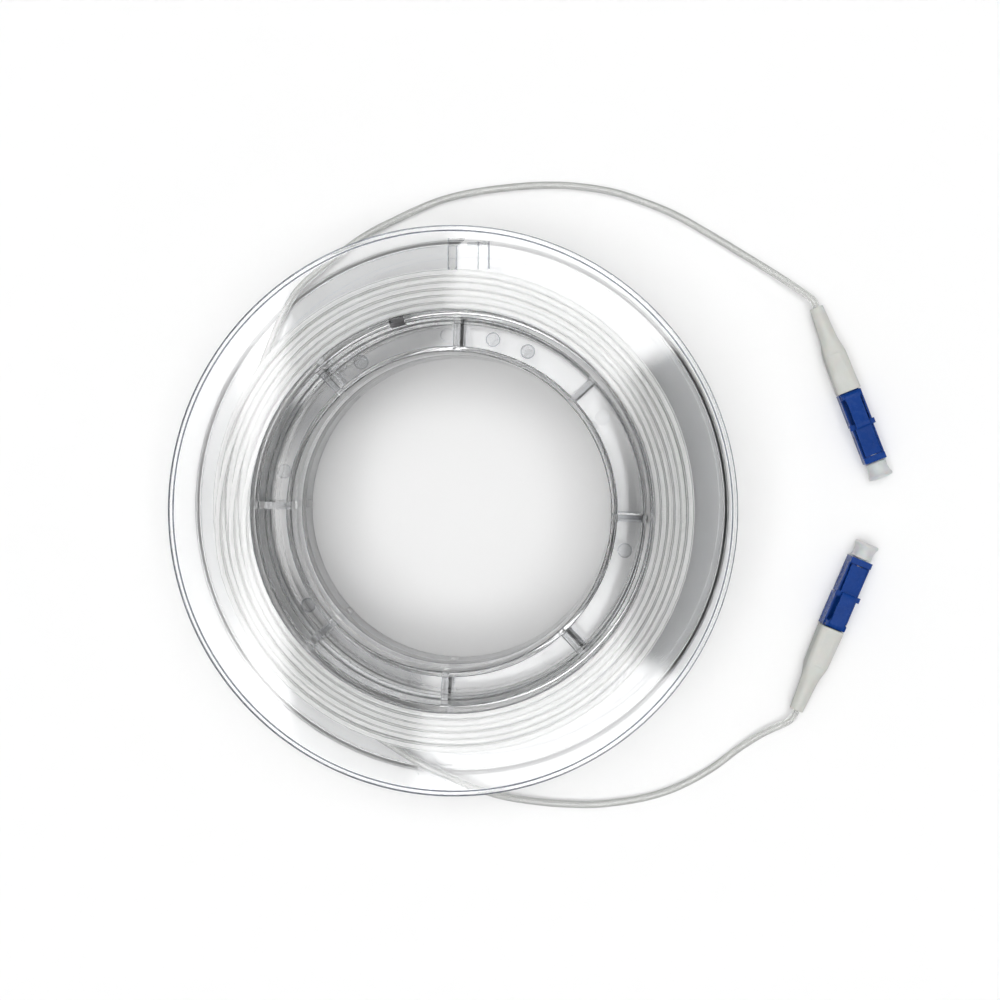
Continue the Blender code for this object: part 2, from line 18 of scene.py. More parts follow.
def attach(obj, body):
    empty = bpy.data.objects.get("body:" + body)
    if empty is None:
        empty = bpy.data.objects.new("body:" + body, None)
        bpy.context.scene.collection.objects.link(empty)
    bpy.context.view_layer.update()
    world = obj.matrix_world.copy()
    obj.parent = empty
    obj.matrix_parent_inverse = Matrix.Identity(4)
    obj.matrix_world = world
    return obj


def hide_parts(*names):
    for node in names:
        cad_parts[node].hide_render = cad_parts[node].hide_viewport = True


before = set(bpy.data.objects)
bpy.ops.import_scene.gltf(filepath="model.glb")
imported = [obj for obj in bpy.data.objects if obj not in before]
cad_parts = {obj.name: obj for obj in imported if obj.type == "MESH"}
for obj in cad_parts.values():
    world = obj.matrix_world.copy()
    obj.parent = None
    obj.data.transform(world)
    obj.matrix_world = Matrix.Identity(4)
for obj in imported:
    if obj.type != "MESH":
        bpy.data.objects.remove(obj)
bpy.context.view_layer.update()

MM = 0.001
BODY = "spooled_cord"

# %% [markdown]
# ## The camera
#
# The photo looks almost straight down. The spool's upper rim shows 7.5% larger than the lower one
# and is shifted to the left of it, so the lens was about half a metre up, right of the axis.
# A camera that looks down has no natural up direction, so its three axes are built by hand.

# %% Camera
PHOTO_PIXELS = 1000
FOCAL_PIXELS = 1822
SENSOR_MM = 36
EYE = np.array([37.5, 16.0, 512.0]) * MM
AIM = np.array([11.1, 2.2, 0.0]) * MM


def look_at(eye, aim):
    """A camera's place: its back axis points from aim to eye, and its right one is level."""
    back = (eye - aim) / np.linalg.norm(eye - aim)
    right = np.cross([0.0, 1.0, 0.0], back)
    right /= np.linalg.norm(right)
    place = np.eye(4)
    place[:3, :3] = np.stack([right, np.cross(back, right), back], axis=1)
    place[:3, 3] = eye
    return Matrix(place.tolist())


def new_object(name, data):
    """An object that shows some data, linked to the scene."""
    obj = bpy.data.objects.new(name, data)
    bpy.context.scene.collection.objects.link(obj)
    return obj


camera_data = bpy.data.cameras.new("photo_camera")
camera_data.sensor_width = SENSOR_MM
camera_data.lens = FOCAL_PIXELS * SENSOR_MM / PHOTO_PIXELS
camera_data.clip_start = 0.01
camera = new_object("photo_camera", camera_data)
camera.matrix_world = look_at(EYE, AIM)
bpy.context.scene.camera = camera
print("camera lens", round(camera_data.lens, 1), "mm")

# %% [markdown]
# ## Surfaces from numbers
#
# Most pieces here are one sheet of points, a row for each place along the piece and a column for
# each place around it. One function turns such a sheet into a mesh. It closes the sheet on itself
# where asked, puts a flat face on each open end, and welds the points that meet at a pole.

# %% Meshes from grids of points
SHARP_ANGLE = math.radians(38)


def finish_mesh(mesh, weld=True):
    """Welds points that coincide, drops empty faces, turns all faces outwards, shades smooth."""
    bm = bmesh.new()
    bm.from_mesh(mesh)
    if weld:
        bmesh.ops.remove_doubles(bm, verts=bm.verts, dist=1e-7)
        bmesh.ops.dissolve_degenerate(bm, dist=1e-8, edges=bm.edges)
    bmesh.ops.recalc_face_normals(bm, faces=bm.faces)
    bm.to_mesh(mesh)
    bm.free()
    mesh.shade_smooth()
    mesh.set_sharp_from_angle(angle=SHARP_ANGLE)
    return mesh


def grid_faces(rows, columns, wrap_rows, wrap_columns, first=0):
    """Point numbers of the four-sided faces of a grid: each point, the next along, and so on."""
    index = first + np.arange(rows * columns).reshape(rows, columns)
    down = np.roll(index, -1, axis=0)
    quads = np.stack([index, np.roll(index, -1, axis=1), np.roll(down, -1, axis=1), down], axis=-1)
    return quads[: rows if wrap_rows else rows - 1, : columns if wrap_columns else columns - 1]


def grid_mesh(name, points, wrap_rows=False, wrap_columns=False, caps=False, weld=True):
    """A mesh from a (rows, columns, 3) grid, with a flat face on the first and last row if asked.

    Its UV map counts rows along u, and v goes from 0 to 1 once across the columns.
    """
    rows, columns = points.shape[:2]
    quads = grid_faces(rows, columns, wrap_rows, wrap_columns)
    faces = quads.reshape(-1, 4).tolist()
    if caps:
        faces.append(list(range(columns)))
        faces.append(list(range((rows - 1) * columns, rows * columns)))
    mesh = bpy.data.meshes.new(name)
    mesh.from_pydata(points.reshape(-1, 3).tolist(), [], faces)
    row, column = np.indices(quads.shape[:2])
    corners = [[0, 0], [0, 1], [1, 1], [1, 0]] + np.stack([row, column], axis=-1)[:, :, None]
    flat = np.zeros((len(mesh.loops), 2))
    flat[: quads.size] = (corners / [1, columns]).reshape(-1, 2)
    mesh.uv_layers.new(name="rows_around").data.foreach_set("uv", flat.ravel())
    return finish_mesh(mesh, weld)


def ring_mesh(name, rings, weld=True):
    """A closed mesh from a ring of points in each row, with a flat face on both ends."""
    return grid_mesh(name, rings, wrap_columns=True, caps=True, weld=weld)


def add_piece(name, mesh, material, node=None, body=BODY, flats=False):
    """Puts a mesh in the scene as a piece that rides on a body and may stand for a CAD node.

    A piece with flats gets its normals weighted by area, so that a large flat face mirrors like
    a flat one right up to its rounded edges.
    """
    piece = new_object(name, mesh)
    if flats:
        weighted = piece.modifiers.new("weighted_normals", "WEIGHTED_NORMAL")
        weighted.weight = 100
        weighted.keep_sharp = True
    mesh.materials.clear()
    mesh.materials.append(material)
    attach(piece, body)
    if node:
        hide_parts(node)
    triangles = sum(len(p.vertices) - 2 for p in mesh.polygons)
    print(name, "has", triangles, "triangles")
    return piece


# %% [markdown]
# ## Shader maths as Python
#
# A pattern on a surface is arithmetic on numbers that change from point to point. Wrapping a
# socket in a small class lets that arithmetic be written as ordinary expressions, so `1 - mask`
# adds its own Math node. Everything else comes from one method that makes any kind of node.

# %% A socket that can be calculated with
def math_method(operation):
    """A method that adds a Math node, with the wire itself as the first input."""
    def method(self, *others):
        inputs = dict(enumerate((self, *others)))
        return self.look.node("ShaderNodeMath", {"operation": operation}, inputs)
    return method


class Wire:
    """An output socket; + - * / and ** with numbers or wires add a Math node to its tree."""

    def __init__(self, look, socket):
        self.look = look
        self.socket = socket

    def __rsub__(self, other):
        """A number less the wire."""
        return self.look.node("ShaderNodeMath", {"operation": "SUBTRACT"}, {0: other, 1: self})

    def clamp(self):
        """The value kept between 0 and 1."""
        return self.look.node("ShaderNodeClamp", None, {0: self})

    __add__ = __radd__ = math_method("ADD")
    __mul__ = __rmul__ = math_method("MULTIPLY")
    __sub__ = math_method("SUBTRACT")
    __truediv__ = math_method("DIVIDE")
    __pow__ = math_method("POWER")
    above = math_method("GREATER_THAN")
    absolute = math_method("ABSOLUTE")
    fract = math_method("FRACT")


class Nodes:
    """A node tree, and one way to add any node to it."""

    def __init__(self, tree):
        self.tree = tree

    def feed(self, socket, value):
        """Links a wire to a socket, or sets the socket's own value; colours get full alpha."""
        if isinstance(value, Wire):
            self.tree.links.new(value.socket, socket)
        elif socket.type == "RGBA":
            socket.default_value = (*value, 1.0)
        else:
            socket.default_value = value

    def node(self, kind, settings=None, inputs=None, output=0):
        """Makes a node: its settings first, then the values or wires of its sockets."""
        node = self.tree.nodes.new(kind)
        for name, value in (settings or {}).items():
            setattr(node, name, value)
        for key, value in (inputs or {}).items():
            self.feed(node.inputs[key], value)
        return Wire(self, node.outputs[output])

    def rise(self, value, start, end):
        """Climbs smoothly from 0 to 1 while a value goes from start to end."""
        return self.node("ShaderNodeMapRange", {"interpolation_type": "SMOOTHSTEP"},
                         {0: value, 1: start, 2: end, 3: 0.0, 4: 1.0})

    def coordinates(self, kind):
        """Texture coordinates of a kind: Object, Normal, UV or, in a sky, Generated."""
        return self.node("ShaderNodeTexCoord", output=kind)

    def split(self, vector):
        """The x, y and z of a vector."""
        x = self.node("ShaderNodeSeparateXYZ", None, {0: vector})
        return [Wire(self, socket) for socket in x.socket.node.outputs]

    def vector(self, operation, first, second=(0.0, 0.0, 0.0), output=0):
        """A Vector Math node: output 0 is a vector, output 1 a number."""
        return self.node("ShaderNodeVectorMath", {"operation": operation},
                         {0: first, 1: second}, output=output)


class Look(Nodes):
    """A material: a Principled shader with constant sockets, and the nodes that vary it."""

    def __init__(self, name, **constants):
        self.material = bpy.data.materials.new(name)
        self.material.use_nodes = True
        super().__init__(self.material.node_tree)
        self.shader = self.tree.nodes["Principled BSDF"]
        for words, value in constants.items():
            self.set(words, value)

    def set(self, words, value):
        """Sets or links the shader's socket of that name, such as base_color."""
        name = words.replace("_", " ").title().replace("Ior", "IOR")
        self.feed(self.shader.inputs[name], value)

    def place(self, scale=(1.0, 1.0, 1.0), turn=(0.0, 0.0, 0.0)):
        """Object coordinates in metres, scaled and turned by a Mapping node."""
        return self.node("ShaderNodeMapping", None,
                         {"Vector": self.coordinates("Object"), "Scale": scale, "Rotation": turn})

    def noise(self, scale, detail=3.0, rough=0.6, where=None):
        """Cloudy noise from 0 to 1, with scale in features per metre."""
        return self.node("ShaderNodeTexNoise", None,
                         {"Vector": where or self.place(), "Scale": scale, "Detail": detail,
                          "Roughness": rough})

    def mix(self, factor, first, second):
        """A colour between two colours."""
        return self.node("ShaderNodeMix", {"data_type": "RGBA"},
                         {0: factor, 6: first, 7: second}, output=2)

    def vary(self, pattern, dark, light, spread, least):
        """Colour goes from dark to light with a pattern, and roughness from least by spread."""
        self.set("base_color", self.mix(pattern, dark, light))
        self.set("roughness", pattern * spread + least)

    def bump(self, height, depth, strength):
        """Feeds Normal with a bump whose height is in units of depth, a length in metres."""
        self.set("normal", self.node("ShaderNodeBump", None,
                                     {"Strength": strength, "Distance": depth, "Height": height}))


# %% [markdown]
# ## The free cord
#
# Each tail is the same 2 mm cord: a clear jacket around a white strand. The CAD settled the route
# with a short list of points; here the same points carry a finer tube. A smooth curve through
# them comes from cubics, each of which takes its slope at a point from that point's neighbours.

# %% Routes and tubes
CORD_DIAMETER = 2.0 * MM
STRAND_DIAMETER = 0.9 * MM
TAIL_A_ROUTE = [
    (-0.0613, 0.0223, 0.0038), (-0.0579, 0.0334, 0.0038), (-0.0540, 0.0437, 0.0038),
    (-0.0499, 0.0535, 0.0038), (-0.0449, 0.0615, 0.0036), (-0.0371, 0.0684, 0.0027),
    (-0.0282, 0.0754, 0.0017), (-0.0190, 0.0804, 0.0012), (-0.0051, 0.0863, 0.00105),
    (0.0092, 0.0891, 0.00105), (0.0262, 0.0902, 0.00105), (0.0405, 0.0886, 0.00105),
    (0.0502, 0.0857, 0.00105), (0.0599, 0.0817, 0.00105), (0.0696, 0.0762, 0.00105),
    (0.0794, 0.0702, 0.00115), (0.0880, 0.0648, 0.0017), (0.0938, 0.0608, 0.0026),
    (0.0966, 0.0588, 0.0032), (0.09805, 0.05737, 0.0035), (0.09863, 0.05588, 0.0035),
]
TAIL_B_ROUTE = [
    (-0.0364, -0.0540, 0.0038), (-0.0310, -0.0583, 0.0038), (-0.0243, -0.0634, 0.0038),
    (-0.0191, -0.0668, 0.0038), (-0.0112, -0.0716, 0.0038), (-0.0033, -0.0752, 0.0037),
    (0.0038, -0.0785, 0.0030), (0.0121, -0.0812, 0.0019), (0.0210, -0.0827, 0.0012),
    (0.0295, -0.0834, 0.00105), (0.0393, -0.0833, 0.00105), (0.0508, -0.0816, 0.00105),
    (0.0598, -0.0788, 0.00105), (0.0696, -0.0736, 0.00105), (0.0784, -0.0670, 0.0012),
    (0.0844, -0.0630, 0.0018), (0.0890, -0.0606, 0.0028), (0.0917, -0.0591, 0.0035),
    (0.09297, -0.05769, 0.00386), (0.09359, -0.05621, 0.00386),
]


def smooth_route(route, step):
    """Evenly spaced points on the cubic curve through a route's points."""
    points = np.array(route)
    padded = np.vstack([2 * points[0] - points[1], points, 2 * points[-1] - points[-2]])
    a, b, c, d = (padded[k : len(padded) - 3 + k, None] for k in range(4))
    t = np.linspace(0, 1, 40, endpoint=False)[None, :, None]
    dense = 0.5 * (2 * b + (c - a) * t + (2 * a - 5 * b + 4 * c - d) * t**2
                   + (3 * b - a - 3 * c + d) * t**3)
    dense = np.vstack([dense.reshape(-1, 3), points[-1:]])
    along = np.concatenate([[0], np.cumsum(np.linalg.norm(np.diff(dense, axis=0), axis=1))])
    marks = np.linspace(0, along[-1], round(along[-1] / step) + 1)
    return np.stack([np.interp(marks, along, dense[:, k]) for k in range(3)], axis=1)


def around(radius, angle, height):
    """Points at a distance and an angle from the spool's axis, and at a height."""
    return np.stack([radius * np.cos(angle), radius * np.sin(angle), height], axis=-1)


def tube_grid(path, radius, sides):
    """A ring of points around each point of a path that never stands upright.

    A ring lies in the plane of two arrows: the level one across the path, and the one that is
    square to that and to the path.
    """
    along = np.gradient(path, axis=0)
    along /= np.linalg.norm(along, axis=1, keepdims=True)
    across = np.cross(along, [0.0, 0.0, 1.0])
    across /= np.linalg.norm(across, axis=1, keepdims=True)
    above = np.cross(across, along)
    angle = np.linspace(0, 2 * np.pi, sides, endpoint=False)[None, :, None]
    ring = np.cos(angle) * across[:, None] + np.sin(angle) * above[:, None]
    return path[:, None] + radius * ring


def path_length(path):
    """The sum of the distances from each point of a path to the next."""
    return float(np.linalg.norm(np.diff(path, axis=0), axis=1).sum())


# %% [markdown]
# The jacket is soft, slightly milky and clear enough to show the white strand in its middle. It
# is a transmissive plastic with a little roughness, and faint clouds run through it.

# %% Cord materials
def jacket_look(milk):
    """Clear jacket, with milk from 0 to 1 for how much of the light it scatters."""
    look = Look("cord_jacket_clear", roughness=0.22, ior=1.47, transmission_weight=1.0 - milk,
                coat_weight=0.15, coat_roughness=0.1)
    look.vary(look.noise(700), (0.90, 0.905, 0.885), (0.97, 0.972, 0.96), 0.16, 0.10)
    look.bump(look.noise(2600, 2.0, 0.5), 0.02 * MM, 0.5)
    return look.material


def strand_look():
    """The white strand: fine fibres that run along it, so almost plain at this size."""
    look = Look("cord_strand_white", roughness=0.55)
    fibres = look.noise(3000, 2.0, 0.6)
    look.set("base_color", look.mix(fibres, (0.84, 0.85, 0.83), (0.97, 0.97, 0.96)))
    return look.material


JACKET = jacket_look(0.22)
STRAND = strand_look()
print("cord materials", JACKET.name, STRAND.name)

# %% [markdown]
# A cord could be a curve object with a bevel, but then its exact surface would be out of reach.
# Here each tail is two tubes of points round one path: the jacket, and inside it the strand.

# %% Tail cords
TAIL_STEP = 0.8 * MM
TAIL_SIDES = 20
STRAND_SIDES = 10
RUN_ON = np.array([[0.6], [1.2]]) * MM


def make_tail(label, route):
    """One tail: the jacket and the strand inside it.

    The path runs on for a little way inside the boot's hole.
    """
    path = smooth_route(route, TAIL_STEP)
    ahead = (path[-1] - path[-2]) / np.linalg.norm(path[-1] - path[-2])
    path = np.vstack([path, path[-1] + ahead * RUN_ON])
    name = f"tail_jacket_{label}"
    jacket = ring_mesh(name, tube_grid(path, CORD_DIAMETER / 2, TAIL_SIDES))
    tail = add_piece(name, jacket, JACKET, node=f"tail_cord_{label}")
    name = f"tail_strand_{label}"
    core = ring_mesh(name, tube_grid(path, STRAND_DIAMETER / 2, STRAND_SIDES))
    strand = add_piece(name, core, STRAND)
    print("tail", label, "is", round(path_length(path), 4), "m long")
    return tail, strand, path


tails = {"a": make_tail("a", TAIL_A_ROUTE), "b": make_tail("b", TAIL_B_ROUTE)}

# %% [markdown]
# ## The spool
#
# Each half is one injection moulding: flange, rim, hub wall, bore wall, a web between the walls
# and eight ribs across the pocket. Its section could be turned round the axis, but ribs aren't
# turned shapes. So the section is allowed to change on the way round: between ribs it has a deep
# pocket, and at a rib the pocket's floor comes up almost to the face. The columns at a rib keep
# a constant distance from the rib's middle plane, which makes its sides parallel.

# %% Spool sizes, as on the CAD solids
SPOOL_RADIUS = 75.0
SPOOL_HEIGHT = 36.0
BORE_RADIUS = 42.0
BORE_WALL_RADIUS = 43.5
HUB_RADIUS = 52.9
HUB_INNER_RADIUS = 50.8
RIM_INNER_RADIUS = 73.6
RIM_PROUD = 0.5
PLATE_TOP = 2.3
POCKET_DEPTH = 10.0
WEB_TOP = 11.6
PARTING = 0.15
RIB_COUNT = 8
RIB_THICKNESS = 1.85
RIB_ANGLE = math.radians(-2)
RIB_RECESS = 0.12
RIB_SIDE = 0.15
EDGE_RADIUS = 0.4
EDGE_STEPS = 3
COLUMNS_BETWEEN = 30


def round_corners(corners, radius, steps):
    """Each corner of closed outlines becomes a short curve.

    corners is (outlines, corners, 2). The curve leaves the corner's two edges at the given
    distance from it, or at 0.45 of a shorter edge, and bends by the quadratic blend of them.
    """
    before = np.roll(corners, 1, axis=1) - corners
    after = np.roll(corners, -1, axis=1) - corners
    cut = []
    for edge in (before, after):
        length = np.linalg.norm(edge, axis=2, keepdims=True)
        cut.append(corners + edge * np.minimum(radius / length, 0.45))
    t = np.linspace(0, 1, steps + 1)[None, None, :, None]
    blend = (cut[0][:, :, None] * (1 - t) ** 2 + 2 * corners[:, :, None] * t * (1 - t)
             + cut[1][:, :, None] * t**2)
    return blend.reshape(len(corners), -1, 2)


def half_sections(pocket_floors):
    """The half's section in (radius, height) for each given height of the pocket's floor."""
    floor = np.asarray(pocket_floors)
    top = SPOOL_HEIGHT / 2 - PARTING
    corners = [
        (BORE_RADIUS, top), (BORE_WALL_RADIUS, top), (BORE_WALL_RADIUS, WEB_TOP),
        (HUB_INNER_RADIUS, WEB_TOP), (HUB_INNER_RADIUS, top), (HUB_RADIUS, top),
        (HUB_RADIUS, PLATE_TOP), (SPOOL_RADIUS, PLATE_TOP), (SPOOL_RADIUS, 0),
        (RIM_INNER_RADIUS, 0), (RIM_INNER_RADIUS, RIM_PROUD), (HUB_RADIUS, RIM_PROUD),
        (HUB_RADIUS, 0), (HUB_INNER_RADIUS, 0), (HUB_INNER_RADIUS, floor),
        (BORE_WALL_RADIUS, floor), (BORE_WALL_RADIUS, 0), (BORE_RADIUS, 0),
    ]
    outline = np.stack([np.stack([radius + 0 * floor, height + 0 * floor], axis=1)
                        for radius, height in corners], axis=1)
    return round_corners(outline, EDGE_RADIUS, EDGE_STEPS)


def half_grid():
    """The lower half as a grid: a section for each column on the way round."""
    half_rib = RIB_THICKNESS / 2
    rib_offsets = np.array([-half_rib - RIB_SIDE, -half_rib, 0.0, half_rib])
    offsets = np.concatenate([rib_offsets, np.full(COLUMNS_BETWEEN, half_rib + RIB_SIDE)])
    floors = np.where(np.abs(offsets) <= half_rib, RIB_RECESS, POCKET_DEPTH)
    share = np.concatenate([np.zeros(len(rib_offsets)),
                            np.arange(COLUMNS_BETWEEN) / COLUMNS_BETWEEN])
    sections = half_sections(floors)
    radius, height = sections[..., 0], sections[..., 1]
    lean = np.arcsin(offsets[:, None] / radius)
    sector = 2 * np.pi / RIB_COUNT
    angle = lean + share[:, None] * (sector - 2 * np.abs(lean))
    turns = RIB_ANGLE + sector * np.arange(RIB_COUNT)[:, None, None]
    angle = (angle[None] + turns).reshape(-1, radius.shape[1])
    radius = np.tile(radius, (RIB_COUNT, 1))
    height = np.tile(height, (RIB_COUNT, 1))
    return around(radius, angle, height) * MM


# %% [markdown]
# Ejector pins left round marks in the pocket of both halves. The upper half also has a slot
# through its flange for the cord's end, a shallow clip recess with deeper grooves beside it, three
# hair-thin mould lines and a window in the hub wall. All of them are cut with Booleans, because
# holes don't fit a grid. The grooves lie inside the recess, so they get a Boolean of their own.

# %% Cut features
SLOT_WIDTH = 2.0
SLOT_OUTER = 71.6
SLOT_INNER = 63.5
SLOT_ANGLE = math.radians(89.6)
FLARE = 2.2
# Boxes in the flange: x from and to, y from and to, and the depth.
CLIP_PAD = (4.3, 10.3, 63.5, 71.0, 0.30)
CLIP_CUTS = [(7.0, 7.5, 63.7, 66.8, 0.90), (8.8, 10.1, 69.8, 70.8, 1.20),
             (9.6, 10.0, 64.0, 69.4, 0.60)]
# Mould lines: degrees round the axis, and the radius from and to.
MOULD_LINES = [(177.7, 55.6, 73.2), (-2.5, 54.0, 73.2), (2.9, 64.0, 73.2)]
MOULD_LINE_WIDTH = 0.28
MOULD_LINE_DEPTH = 0.15
WINDOW_ANGLE = math.radians(105.8)
WINDOW_INNER, WINDOW_OUTER = 48.7, 52.6
WINDOW_WIDTH = 4.0
WINDOW_DEPTH = 4.5
MARK_RADIUS = 1.9
MARK_CENTRE_RADIUS = 46.9
MARK_DEPTH = 0.35
MARK_ANGLES = [32, 65, 77, 92, 122, 167, 213, 257, 303, 347]


def extruded(name, outline, axis, low, high):
    """A flat outline drawn out from low to high along the axis of that number."""
    ends = [np.insert(np.asarray(outline, dtype=float), axis, end, axis=1) for end in (low, high)]
    return ring_mesh(name, np.stack(ends))


def column_mesh(name, outline, low, high):
    """A flat (x, y) outline in mm raised from one height to another."""
    return extruded(name, np.asarray(outline) * MM, 2, low * MM, high * MM)


def slot_outline(steps=10):
    """The slot along a radius: round at its inner end, and flared to one side at the outer."""
    half = SLOT_WIDTH / 2
    turn = np.linspace(np.pi / 2, 3 * np.pi / 2, steps)
    inner = np.stack([SLOT_INNER + half + np.cos(turn) * half, np.sin(turn) * half], 1)
    flare = [(SLOT_OUTER - 2.0, -half), (SLOT_OUTER - 0.3, -half - FLARE),
             (SLOT_OUTER, -half - FLARE), (SLOT_OUTER, half)]
    return turned_plane(np.vstack([inner, flare]), SLOT_ANGLE)


def turned_plane(points, angle):
    """Flat points turned about the origin."""
    c, s = math.cos(angle), math.sin(angle)
    return points @ np.array([[c, s], [-s, c]])


def circle(radius, centre_radius, angle, steps=28):
    """A circle whose centre lies at a radius and an angle from the spool's axis."""
    turn = np.linspace(0, 2 * np.pi, steps, endpoint=False)
    points = np.stack([centre_radius + radius * np.cos(turn), radius * np.sin(turn)], 1)
    return turned_plane(points, angle)


def joined(name, meshes):
    """Several meshes in one, without welding them to each other."""
    bm = bmesh.new()
    for mesh in meshes:
        bm.from_mesh(mesh)
        bpy.data.meshes.remove(mesh)
    mesh = bpy.data.meshes.new(name)
    bm.to_mesh(mesh)
    bm.free()
    return mesh


def evaluated_mesh(obj):
    """A new mesh with the shape that an object has after its modifiers."""
    graph = bpy.context.evaluated_depsgraph_get()
    return bpy.data.meshes.new_from_object(obj.evaluated_get(graph))


def with_boolean(mesh, tool, operation):
    """The mesh after one exact Boolean with a tool mesh."""
    pair = [new_object("boolean_" + m.name, m) for m in (mesh, tool)]
    modifier = pair[0].modifiers.new("cut", "BOOLEAN")
    modifier.object = pair[1]
    modifier.operation = operation
    modifier.solver = "EXACT"
    result = evaluated_mesh(pair[0])
    for obj in pair:
        data = obj.data
        bpy.data.objects.remove(obj)
        bpy.data.meshes.remove(data)
    return finish_mesh(result)


def rectangle(inner, outer, width, angle):
    """A rectangle from an inner to an outer radius, turned to an angle."""
    corners = [(inner, -width / 2), (outer, -width / 2), (outer, width / 2), (inner, width / 2)]
    return turned_plane(np.array(corners), angle)


def flange_box(x0, x1, y0, y1, depth):
    """A cutter of that depth below the upper flange's face."""
    face = SPOOL_HEIGHT - RIM_PROUD
    return column_mesh("box", [(x0, y0), (x1, y0), (x1, y1), (x0, y1)], face - depth, face + 2)


def upper_cutters():
    """The cutters of the slot, the clip recess, the mould lines and the window."""
    over = SPOOL_HEIGHT + 1
    lines = [column_mesh("line", rectangle(inner, outer, MOULD_LINE_WIDTH, math.radians(angle)),
                         SPOOL_HEIGHT - RIM_PROUD - MOULD_LINE_DEPTH, over)
             for angle, inner, outer in MOULD_LINES]
    window = rectangle(WINDOW_INNER, WINDOW_OUTER, WINDOW_WIDTH, WINDOW_ANGLE)
    return [column_mesh("slot", slot_outline(), SPOOL_HEIGHT - 2 * PLATE_TOP, over),
            flange_box(*CLIP_PAD), *lines,
            column_mesh("window", window, SPOOL_HEIGHT - WINDOW_DEPTH, over)]


def make_spool_half(name, node, upper, material):
    """One half of the spool: its grid, upside down for the upper one, less all its cuts."""
    grid = half_grid()
    floor, inward = POCKET_DEPTH, 1.0
    if upper:
        grid[..., 2] = SPOOL_HEIGHT * MM - grid[..., 2]
        floor, inward = SPOOL_HEIGHT - POCKET_DEPTH, -1.0
    low, high = sorted([floor - inward, floor + MARK_DEPTH * inward])
    cutters = [column_mesh("mark", circle(MARK_RADIUS, MARK_CENTRE_RADIUS, math.radians(angle)),
                           low, high) for angle in MARK_ANGLES]
    if upper:
        cutters += upper_cutters()
    mesh = grid_mesh(name, grid, wrap_rows=True, wrap_columns=True)
    mesh = with_boolean(mesh, joined("cuts", cutters), "DIFFERENCE")
    if upper:
        grooves = joined("clip_cuts", [flange_box(*cut) for cut in CLIP_CUTS])
        mesh = with_boolean(mesh, grooves, "DIFFERENCE")
    return add_piece(name, mesh, material, node=node, flats=True)


# %% [markdown]
# The spool is clear polystyrene. Light that meets a rounded edge, or a face that stands across the
# ring like a rib's side, has a long way through the plastic, and a renderer shows too little of what
# is lost on it. So the material works out from a point's normal and place whether the point lies on
# such a face, and paints blue-grey shade on those faces.

# %% Clear plastic
CLEAR_COLOUR = (0.992, 0.996, 0.999)
# Blue-grey of the painted shade on the clear plastic's edges, ribs, marks and cut lines.
PAINTED_SHADE_COLOUR = (0.13, 0.15, 0.20)
WINDOW_COLOUR = (0.01, 0.01, 0.012)
ACROSS_SHADE = 0.8
RIB_SHADE = 0.35
MARK_RING_SHADE = 0.6
MARK_MIDDLE_SHADE = 0.32
MARK_SHADES = [0.3, 1.0, 0.8, 0.3, 0.5, 0.5, 0.9, 0.2, 0.2, 0.5]
# Boxes of painted shade at the slot and the clip recess: how far to the right of the slot's middle
# from and to, how far from the axis from and to, and the shade.
CUT_SHADES = [
    (-1.25, -0.7, 63.5, 71.6, 0.75), (-0.7, 0.7, 63.5, 71.6, 0.20),
    (0.7, 1.25, 63.5, 71.6, 0.75), (3.8, 9.2, 69.9, 70.8, 0.45),
    (6.5, 7.0, 63.7, 70.8, 0.40), (9.2, 9.8, 63.7, 70.8, 0.70),
]


